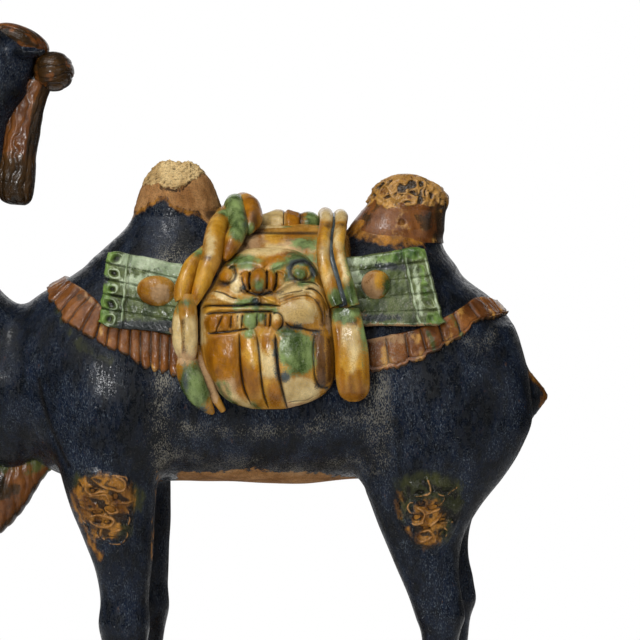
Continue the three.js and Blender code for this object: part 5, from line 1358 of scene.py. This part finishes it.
# ---- Tops of the humps
# The front hump lost its tip: the break is a rough pale face of coarse white clay with a
# ragged lower edge, over bare clay stained tan. The rear hump kept its tuft of curled
# hair, carved with a pointed tool and glossy with amber glaze.
# Bottom to top: z, x of the front, x of the back, half-width.
FRONT_TOP = [
    (541, -163, -64, 46), (552, -158.5, -68, 44), (562, -154.5, -70, 41), (571, -152, -73, 39),
    (579, -149, -76, 36.5), (587, -145, -80, 34), (593, -141, -85, 31), (598, -136.5, -90, 27),
    (602, -131, -96, 22), (604, -124, -103, 15), (605, -116, -110, 5),
]
REAR_TOP = [
    (524, 50, 155.5, 52), (534, 56, 154.3, 46.6), (545, 63, 154.5, 41.6), (555, 71, 155.5, 38.4),
    (562, 77, 158, 37.5), (570, 81, 156.5, 36.3), (578, 84.5, 151.5, 33), (584, 89, 144, 28.5),
    (588.5, 96, 135, 22), (592, 104, 126.5, 13.5), (593.5, 112, 119, 4.5),
]
BREAK_GRAIN = 0.0042
BREAK_EDGE = [
    (-150, 583), (-140, 581), (-130, 583), (-125, 580), (-105, 578), (-98, 586), (-90, 590), (-85, 596),
]
CURL = 7.6  # parts across a clump of hair
VENT = (111, 544, 2.6)  # small hole in the rear hump


def cells(u, v, size, seed):
    """Distances to the two nearest of one jittered seed to each square of `size`, and a
    number from 0 to 1 that belongs to the nearest."""
    draw = np.random.default_rng(seed)
    jitter = draw.uniform(0.08, 0.92, (32, 32, 2))
    value = draw.uniform(0, 1, (32, 32))
    u, v = np.asarray(u, float) / size, np.asarray(v, float) / size
    i, j = np.floor(u).astype(int), np.floor(v).astype(int)
    first, second, own = np.full(u.shape, 9.0), np.full(u.shape, 9.0), np.zeros(u.shape)
    for a in (-1, 0, 1):
        for b in (-1, 0, 1):
            at = (i + a) % 32, (j + b) % 32
            off = np.hypot(i + a + jitter[at][..., 0] - u, j + b + jitter[at][..., 1] - v)
            own = np.where(off < first, value[at], own)
            second = np.minimum(second, np.maximum(first, off))
            first = np.minimum(first, off)
    return first, second, own


def curls(points, size, seed):
    """Ridges that wind and close like curls, exp(-(w/0.2)²) of a soft wave w, and the
    hollows between them, where w is low."""
    w = waves(points, size, seed, 2)
    return np.exp(-(w / 0.2) ** 2), soft((-w - 0.42) / 0.3)


def emerging(rows, level, count, sides):
    """Level rings that start sunk below the body's skin and stand out of it from `level`
    up: outward offset -1.6 parts at the foot to 0.5 part over 10 parts of height."""
    grid = place(upright(rows, count, sides))
    z = (grid[..., 2] - BASE_TOP) / PART
    middle = grid.mean(1, keepdims=True)
    out = grid - middle
    out /= np.linalg.norm(out, axis=-1)[..., None]
    return grid, out, (-1.6 + 2.1 * soft((z - level + 6) / 10)) * PART


grid, out, lift = emerging(FRONT_TOP, 556, 120, 190)
parts = in_parts(grid)
px, py, pz = np.moveaxis(parts, -1, 0)
ragged = waves(grid, 0.02, 51, 4) * 3.0
face = np.interp(px, *zip(*BREAK_EDGE)) + 0.5 * ragged + 0.8 * np.sign(np.sin(px * 0.9 + 3 * ragged))
rough = soft((pz - face) / 1.4)
under_ledge = np.exp(-((pz - face + 1.8) / 1.5) ** 2) * (np.abs(px + 113) < 16)
crumb = waves(grid, 0.011, 52, 3) * 0.9 + waves(grid, BREAK_GRAIN, 53, 2) * 0.55
first, second, own = cells(px + 7 * py / 10, pz * 1.4 + py, 4.5, 9)
crumb = crumb + (own - 0.5) * 1.3 * (second - first > 0.1)
relief = rough * (0.7 + 1.15 * crumb) - under_ledge + 0.22 * (1 - rough) * waves(grid, 0.006, 54, 3)
lift = lift + relief * PART
grid = grid + out * lift[..., None]
top = soft((pz - 596) / 8)
grid[..., 2] += top * rough * (crumb * 1.5 + waves(grid, 0.02, 55, 1) * 1.2) * PART
points, *faces = closed(grid)

# Painted shadow under the ledge at the break's foot, and painted shade in the pits of the break.
piece("front_hump_break", points, faces, cobalt_glaze, clay=flat((pz - hump_glaze(px)) / 3),
      broken=flat((pz - face) / 1.2), amber=flat(hump_haze(px, pz)),
      hollow=flat(under_ledge * 0.8 + rough * np.clip(-crumb - 0.6, 0, 0.8)), wear=0.1)

grid, out, lift = emerging(REAR_TOP, 534, 140, 212)
parts = in_parts(grid)
px, py, pz = np.moveaxis(parts, -1, 0)
turn = np.arctan2(py, px - 116) * 34
edge = 560 + 4 * np.sin(turn * 0.14 + 1) + waves(grid, 0.03, 61, 2) * 5
tuft = soft((pz - edge) / 5)
warp = waves(grid, 0.022, 62, 2) * 3.4
first, second, own = cells(turn + warp + 200, pz * 1.15 + np.abs(turn) * 0.25 - warp, CURL, 17)
rim = np.exp(-((second - first) / 0.16) ** 2)
pit = (own < 0.34) * soft((second - first) / 0.4)
knob = (own > 0.6) * np.clip(1 - (first / 0.6) ** 2, 0, 1)
ridge, hole = curls(grid, 0.021, 66)
rim, pit = np.maximum(0.5 * rim, ridge), np.maximum(0.7 * pit * (1 - ridge), hole)
relief = 1.7 * rim - 1.9 * pit + 1.2 * knob + 0.5 * waves(grid, 0.007, 63, 3)
vent = np.exp(-(((px - VENT[0]) ** 2 + (pz - VENT[1]) ** 2) / VENT[2] ** 2) ** 2)
grid = grid + out * (lift + (tuft * relief - 3.2 * vent) * PART)[..., None]
points, *faces = closed(grid)
# Painted shade in the pits between the curls and in the small hole.
between_curls = np.clip(pit * 1.1 + 0.4 * np.exp(-((second - first - 0.26) / 0.07) ** 2), 0, 1)
piece("rear_hump_tuft", points, faces, amber_glaze, hollow=flat(np.maximum(tuft * between_curls, vent)),
      brown=flat(np.maximum(waves(grid, 0.04, 64) * 1.5 - 0.8 - 0.9 * tuft, (px - 143) / 6)),
      cream=flat(tuft * rim * 3 - 1.7 - 0.5 * soft((130 - px) / 30)),
      yellow=flat(np.maximum(tuft * (rim + knob + 0.42) * 3 - 1.15, waves(grid, 0.03, 65) - 1.1)),
      wear=flat(0.3 * tuft))

# ---- Head
# Raised muzzle with the mouth open to bray, eyes under heavy brows, ears laid back.
# Modelled over a moulded core and covered with the same cobalt glaze as the body.
# From the back of the skull: distance, height above, depth below, half-width.
SKULL = [
    (0, 6, 8, 8), (6, 24, 30, 24), (26, 34, 48, 36), (52, 36, 50, 39), (80, 27, 34, 32),
    (108, 22, 24, 26), (134, 23, 20, 26), (152, 18.4, 16, 24), (163, 8, 8, 13),
]
JAW = [(0, 18, 22, 27), (26, 14, 20, 25), (54, 10, 16, 20), (80, 9, 13, 18), (96, 5, 8, 11)]
HEAD_TILT = math.radians(22)
SKULL_AT = (-258, 688)
JAW_AT, JAW_DROP = (38, -25), math.radians(10)
# Forms on both sides: along the skull, out, above, then three half-sizes, then the blend.
HEAD_FORMS = [
    (64, 34, 12, 10, 8, 9, 1), (58, 30, 24, 20, 10, 7, 4), (60, 33, 1, 17, 9, 6, 4),
    (86, 22, 14, 22, 8, 10, 6), (44, 26, -20, 22, 14, 24, 8), (146, 20, 10, 12, 8, 10, 4),
    (120, 20, -6, 26, 8, 11, 5),
]
NOSTRIL = (150, 24, 9), (8, 4, 3)
EAR = [(-6, 5, 5, 6), (8, 6, 6, 9), (22, 5, 5, 10), (33, 3, 4, 6), (39, 1, 1, 2)]
EAR_HOLLOW = [(4, 0.5, 1, 1), (10, 3, 3, 4), (22, 3, 3, 6), (32, 2, 2, 3), (36, 0.5, 0.5, 0.6)]
EAR_ROOT, EAR_LIFT, EAR_SPREAD = (24, 29, 16), 0.35, 0.55
FORELOCK_AT, FORELOCK = (26, 0, 31.5), (30, 24, 14.5)
CROWN_ROLL_AT, CROWN_ROLL = (-237, 0, 696), (20, 27, 20)


def on_head(points):
    """From along, out and above the skull to the figure: turned by the head's tilt."""
    s, y, z = np.moveaxis(np.asarray(points, float), -1, 0)
    c, d = math.cos(HEAD_TILT), math.sin(HEAD_TILT)
    return place(spot(SKULL_AT[0] - s * c + z * d, y, SKULL_AT[1] + s * d + z * c))


def tapered(rows, count, sides):
    """Upright rings along the skull's own line, from distance, height, depth, half-width."""
    s, up, down, half = between(rows, count).T
    return rings(spot(s, 0, 0), Y, Z, half, up, down, sides, SOFT_SQUARE)


def ball(middle, sizes, count=26, sides=36):
    """Rings of an ellipsoid from its bottom to its top."""
    t = np.linspace(-1, 1, count) * (np.pi / 2 - 0.06)
    a, b = np.outer(sizes[:2], np.cos(t))
    return rings(spot(middle[0], middle[1], middle[2] + sizes[2] * np.sin(t)), X, Y, a, b, b, sides)


def turned(points, lift, spread):
    """Points lifted about the cross axis, then spread about the upright one."""
    x, y, z = np.moveaxis(points, -1, 0)
    x, z = -x * math.cos(lift) + z * math.sin(lift), x * math.sin(lift) + z * math.cos(lift)
    return spot(x * math.cos(spread) + y * math.sin(spread),
                -x * math.sin(spread) + y * math.cos(spread), z)


head = Clay((-0.47, -0.075, 0.62), (-0.21, 0.075, 0.84), 0.0024, 0.012)
head.add(on_head(tapered(SKULL, 80, 64)), 0.004)
neck_top = between(NECK, 60)[44:]
head.add(place(outlined(neck_top, 40, 60)), 0.016)
hinge = tapered(JAW, 60, 48)
drop = spot(hinge[..., 0] * math.cos(JAW_DROP) + hinge[..., 2] * math.sin(JAW_DROP), hinge[..., 1],
            -hinge[..., 0] * math.sin(JAW_DROP) + hinge[..., 2] * math.cos(JAW_DROP))
head.add(on_head(drop + (JAW_AT[0], 0, JAW_AT[1])), 0.004)
for side in (-1, 1):
    for along, out, above, a, b, c, blend in HEAD_FORMS:
        head.add(on_head(ball((along, side * out, above), (a, b, c))), blend / 1000)
    for rows, sink, add in ((EAR, 0, True), (EAR_HOLLOW, 4, False)):
        ear = turned(tapered(rows, 40, 32), EAR_LIFT, side * EAR_SPREAD)
        ear = on_head(ear + (EAR_ROOT[0], side * (EAR_ROOT[1] + sink), EAR_ROOT[2] + sink / 2))
        (head.add if add else head.cut)(ear, 0.003 if add else 0.001)
    (along, out, above), sizes = NOSTRIL
    head.cut(on_head(ball((along, side * out, above), sizes)), 0.002)
points, quads = head.skin()
points += head.facing(points) * (waves(points, 0.05, 71, 3) * 0.0004)[:, None]
piece("camel_head", points, [quads], cobalt_glaze, wear=0.12)

# ---- Mane, crown tuft and throat hair
# Locks of hair laid on in rolls and combed with a toothed tool: the mane ends in a blunt
# tuft off the nape, the fringe hangs under the neck from chin to chest. Amber glaze, brown
# along the edges where it met the blue.
MANE = [
    (-272, 688, -238, 686, 12), (-284, 660, -247, 659, 14), (-286, 636, -251, 637, 16),
    (-290, 611, -255, 613, 17), (-294, 588, -257, 585, 16), (-290, 569, -260, 568, 14),
    (-281, 563, -266, 562, 8),
]
# Root inside the neck, tip, half-width, from the chest to the chin.
THROAT_HAIR = [
    (-236, 322, -232, 304, 6), (-250, 326, -248, 288, 14), (-268, 324, -270, 254, 19),
    (-292, 320, -297, 231, 22), (-318, 330, -332, 240, 22), (-342, 352, -368, 284, 21),
    (-368, 390, -398, 338, 20), (-390, 440, -422, 404, 18), (-398, 490, -429, 472, 16),
    (-394, 545, -421, 538, 14), (-374, 600, -397, 600, 12), (-346, 648, -364, 652, 8),
]


def combed(grid, across, depth, seed):
    """Rings pushed out by locks: rounded ridges |sin| of `across`, bent by slow waves, with
    finer strands over them. Returns the rings and how deep each point lies."""
    middle = grid.mean(1, keepdims=True)
    out = grid - middle
    reach = np.linalg.norm(out, axis=-1)
    bend = across + waves(grid, 0.03, seed, 2) * 0.9
    lock = np.abs(np.sin(bend)) ** 0.7
    strands = np.abs(np.sin(bend * 3 + waves(grid, 0.02, seed + 1, 2)))
    rise = (lock - 0.6 + 0.28 * strands) * depth
    ends = np.minimum(1, np.minimum(np.arange(len(grid)), np.arange(len(grid))[::-1]) / 6)[:, None]
    moved = grid + out / np.maximum(reach, 1e-9)[..., None] * (rise * ends)[..., None]
    return moved, np.clip(1 - lock * 1.6, 0, 1)


# The grooves between the locks of the mane, throat hair, crown roll and forelock are darkened with painted
# shade.
turn = np.linspace(0, 2 * np.pi, 110, endpoint=False)[None]
rows = outlined(MANE, 130, 110, SQUARE)
grid, low = combed(place(rows), turn * 5, 0.0016, 81)
points, *faces = closed(grid)
back = soft((-np.cos(turn - np.pi / 2) - 0.2) / 0.5) * 4 - 1.4
piece("mane", points, faces, amber_glaze, hollow=flat(low * 0.6),
      brown=flat(np.maximum(back, (610 - in_parts(grid)[..., 2]) / 12)))

rows = outlined(THROAT_HAIR, 230, 90)
along = np.linspace(0, 30, 230)[:, None] * np.pi
grid, low = combed(place(rows), along, 0.0011, 84)
tip = np.clip(-np.sin(np.linspace(0, 2 * np.pi, 90, endpoint=False)), 0, 1)[None] ** 4
notch = 0.025 * tip * (np.abs(np.sin(along)) - 0.6)
grid = grid + (grid - grid.mean(1, keepdims=True)) * notch[..., None]
points, *faces = closed(grid)
piece("throat_hair", points, faces, amber_glaze, hollow=flat(low * 0.5),
      brown=flat(np.maximum(waves(grid, 0.05, 86) * 2.4 - 0.9, tip * 3 - 1.2)),
      green=flat(0.9 - np.abs(in_parts(grid)[..., 2] - 306) / 9 + waves(grid, 0.03, 87)))

grid = place(ball(CROWN_ROLL_AT, CROWN_ROLL, 90, 90))
grid, low = combed(grid, np.linspace(0, 5 * np.pi, 90)[:, None], 0.0013, 91)
points, *faces = closed(grid)
piece("crown_roll", points, faces, amber_glaze, hollow=flat(low * 0.7),
      brown=flat(waves(grid, 0.03, 92) * 3 + 1))

grid = ball(FORELOCK_AT, FORELOCK, 70, 90)
grid, low = combed(on_head(grid), (grid[..., 1] / 24) * 9, 0.0014, 94)
points, *faces = closed(grid)
piece("forelock", points, faces, amber_glaze, hollow=flat(low * 0.7),
      brown=flat(waves(grid, 0.03, 95) * 3))

# ---- Curled hair on the legs
# A pad of curls high on each leg, a lump of clay pressed on and worked with a pointed tool
# into ridges that wind and branch round deep holes. Amber and olive glaze over it, worn
# pale along the ridges, with dark painted shade in the holes, beside the ridges and in low places.
# x, z, half-wide, half-high, y of the skin there, the leg's step back on the right.
LEG_HAIR = {"foreleg": (-179, 267, 37, 46, 94, 9), "hind_leg": (137, 263, 38, 46, 92, 15)}
# Ridges as x, z from end to end, then holes as x, z, half-wide, half-high.
HAIR_RIDGES = {
    "foreleg": [
        [(-189, 298), (-181, 301), (-170, 301), (-162, 297), (-159, 291), (-162, 286), (-170, 287),
         (-180, 291), (-188, 297)],
        [(-170, 301), (-160, 299), (-157, 294)],
        [(-193, 292), (-194, 286), (-189, 282), (-180, 286), (-175, 284)],
        [(-195, 280), (-185, 281), (-178, 283), (-174, 279), (-173.5, 274), (-177, 273)],
        [(-206, 276), (-200, 277), (-195, 276), (-194, 280)],
        [(-171, 273), (-163, 273), (-155, 273), (-148, 275)],
        [(-194, 257), (-188, 260), (-178, 260), (-170, 256), (-170, 252), (-176, 248.5), (-185, 249),
         (-192, 253), (-194, 257)],
        [(-156, 265), (-154.5, 257), (-156, 250)], [(-182, 247), (-183, 240), (-178, 235)],
        [(-174, 242.5), (-164, 245.5), (-157, 243), (-157.5, 237.5), (-164, 231.5), (-173, 231.5),
         (-178, 235)],
        [(-205, 269), (-198, 267), (-192.5, 265)], [(-177, 266), (-172, 262), (-166, 264), (-168, 270)]],
    "hind_leg": [
        [(134, 297), (136, 290.5), (137.5, 284)], [(137.5, 284), (134, 282.5), (129, 281), (121, 279.5)],
        [(141, 284), (150, 281), (156, 285), (163.5, 290)], [(150, 281), (147.5, 274.5), (144, 270)],
        [(123, 274), (118, 273), (115.5, 268), (118, 263), (123, 263)],
        [(122, 269.5), (128, 266), (131.5, 261), (130.5, 257), (127, 254)],
        [(131.5, 261), (140, 265), (146, 267.5)],
        [(118.5, 253), (122, 251), (127, 252), (130, 255)],
        [(135, 249), (140, 253), (143.5, 256), (147.5, 262)],
        [(125.5, 242.5), (135, 245), (140, 240), (142, 235), (140, 233)],
        [(125.5, 233), (133, 235), (139.5, 239.5)],
        [(146, 252.5), (160, 253)], [(150, 248), (154, 243), (152, 238)]],
}
HAIR_HOLES = {
    "foreleg": [(-187, 286, 5.5, 3.5), (-173.5, 266, 5, 3.5), (-185, 263, 6, 1.8), (-185, 255, 4.2, 2.6),
                (-175.5, 253.5, 4, 2.4), (-171.5, 235.5, 6.5, 3.2), (-168, 279, 2, 4)],
    "hind_leg": [(128, 272, 4, 3), (138, 268, 5, 3), (124.5, 257.5, 4.5, 3), (147.5, 255, 5.5, 3.5),
                 (149, 241.5, 5, 4.5),
                 (128, 284, 3, 2.5), (133, 247.5, 4.5, 2), (152, 287, 5, 2)],
}
HAIR_PROUD, HAIR_RIDGE, HAIR_HOLE = 2.6, 1.6, 3.0
HAIR_GRID = {"left": (176, 72), "right": (120, 50)}  # points round each ring, rings


def hair_pad(leg, side, sides, ring_count, seed):
    """Rings about the pad's middle, out to a ragged edge and back beneath, laid on the
    body's skin; the front rises by its ridges and sinks by its holes."""
    x, z, wide, high, y, back = LEG_HAIR[leg]
    turn = np.linspace(0, 2 * np.pi, sides, endpoint=False)[None]
    t = np.concatenate([np.linspace(0.01, 1, ring_count), np.linspace(0.97, 0.05, 4)])[:, None]
    front = (np.arange(len(t)) < ring_count)[:, None]
    edge = 1 + 0.1 * waves(spot(np.cos(turn), np.sin(turn), 0), 1.2, seed, 3)
    u, v = x + wide * t * edge * np.cos(turn), z + high * t * edge * np.sin(turn)
    skin = body.drape(place(spot(u + back * (side > 0), side * y, v)), 0.0, 10)
    ragged = 0.4 * waves(skin, 0.012, seed, 2)
    ridge = np.max([line_share(u + ragged, v - ragged, path, 1.15) for path in HAIR_RIDGES[leg]], axis=0)
    outline = np.max([line_share(u + ragged, v - ragged, path, 2.6) for path in HAIR_RIDGES[leg]], axis=0)
    holes = [np.exp(-((u - a) / w) ** 4 - ((v - b) / h) ** 4) for a, b, w, h in HAIR_HOLES[leg]]
    hole = np.max(holes, axis=0)
    swell = 1.1 * waves(skin, 0.014, seed + 2, 2)
    rise = HAIR_PROUD + swell + HAIR_RIDGE * ridge - HAIR_HOLE * hole * (1 - ridge)
    rise = np.where(front, (rise + 0.9) * soft((1 - t) / 0.35) - 0.9, -5)
    low = soft((0.1 - swell) / 0.7)
    shade = np.max([hole, 0.7 * outline, 0.8 * low], axis=0) * (1 - ridge) * soft((1 - t) / 0.25) * front
    return skin + body.facing(skin) * (rise * PART)[..., None], ridge * front, shade


for side, flank in FLANKS:
    for number, leg in enumerate(LEG_HAIR):
        grid, ridge, shade = hair_pad(leg, side, *HAIR_GRID[flank], 110 + 7 * number + 3 * (side > 0))
        points, *faces = closed(grid)
        parts = in_parts(points) - (LEG_HAIR[leg][-1] * (side > 0), 0, 0)
        piece(f"hair_{leg}_{flank}", points, faces, cobalt_glaze, amber=cover(parts, *LEG_AMBER),
              green=cover(parts, *LEG_GREEN), clay=flat(ridge * 2.2 - 1.9), hollow=flat(shade), wear=0.25)

# ---- Base slab
# A low slab of the same clay with rounded corners, rolled out and trimmed with a wire
# while it was leather-hard. It was left bare; blue glaze ran down the legs on to it.
BASE_HALF, BASE_SIDE, BASE_CORNER, BASE_DRAFT = 0.2334, 0.1162, 0.024, 0.004
EDGE_ROUND = 0.0022
FEET = [(-166, -63), (-155, 63), (144, -62), (163, 62)]


def slab_ring(inset, z, count):
    """Rounded rectangle drawn in by `inset`, read at even steps of its length."""
    radius = max(BASE_CORNER - inset, 0.003)
    quarter = np.linspace(0, np.pi / 2, 13)
    corners = [(sx * (BASE_HALF - inset - radius), sy * (BASE_SIDE - inset - radius), k)
               for k, (sx, sy) in enumerate(((1, 1), (-1, 1), (-1, -1), (1, -1)))]
    turns = [(x, y, quarter + k * np.pi / 2) for x, y, k in corners]
    line = [np.stack([x + radius * np.cos(t), y + radius * np.sin(t)], -1) for x, y, t in turns]
    line = np.concatenate([*line, line[0][:1]])
    length = np.append(0, np.cumsum(np.linalg.norm(np.diff(line, axis=0), axis=1)))
    at = np.linspace(0, length[-1], count, endpoint=False)
    return spot(np.interp(at, length, line[:, 0]), np.interp(at, length, line[:, 1]), z)


bend = np.linspace(0, np.pi / 2, 6)
profile = [(inset, 0.0) for inset in np.linspace(0.112, EDGE_ROUND, 4)]
profile += [(EDGE_ROUND * (1 - math.sin(a)), EDGE_ROUND * (1 - math.cos(a))) for a in bend[1:]]
wall = BASE_TOP - 2 * EDGE_ROUND
profile += [(BASE_DRAFT * t, EDGE_ROUND + wall * t) for t in np.linspace(0, 1, 6)[1:]]
rounded = [(EDGE_ROUND * (1 - math.cos(a)), EDGE_ROUND * (1 - math.sin(a))) for a in bend[1:]]
profile += [(BASE_DRAFT + inset, BASE_TOP - drop) for inset, drop in rounded]
profile += [(inset, BASE_TOP) for inset in np.linspace(BASE_DRAFT + EDGE_ROUND, 0.112, 30)[1:]]
grid = np.stack([slab_ring(inset, z, 240) for inset, z in profile])
outer = np.hypot(grid[..., 0] / BASE_HALF, grid[..., 1] / BASE_SIDE) > 0.5
side_share = soft(grid[..., 2] / 0.004) * outer
grid[..., :2] *= 1 + (0.0016 * (waves(grid, 0.11, 101, 3) - 1) * side_share)[..., None]
grid[..., 2] += (grid[..., 2] > 0.02) * (waves(grid, 0.07, 102, 3) - 1) * 0.00035
points, *faces = closed(grid)
parts = in_parts(points)
runs = [(1 - np.hypot((parts[:, 0] - x) / 46, (parts[:, 1] - y) / 42)) * 10 for x, y in FEET]
run = np.max(runs, axis=0)
# Bare white-bodied earthenware, sanded by the wire: dry, buff and dusty, stained brown
# round the pooled blue.
bare_clay = fired(
    "bare_earthenware", ("#967354", "#bf9f78"),
    [("amber", "#6b3a14", "#a5682c"), ("blue", "#080d14", "#151f2c")], gloss=0.68, crackle_mm=1.9,
    bump_mm=0.25)
piece("base_slab", points, faces, bare_clay, blue=run - 2, amber=run - 0.5, wear=0.1)
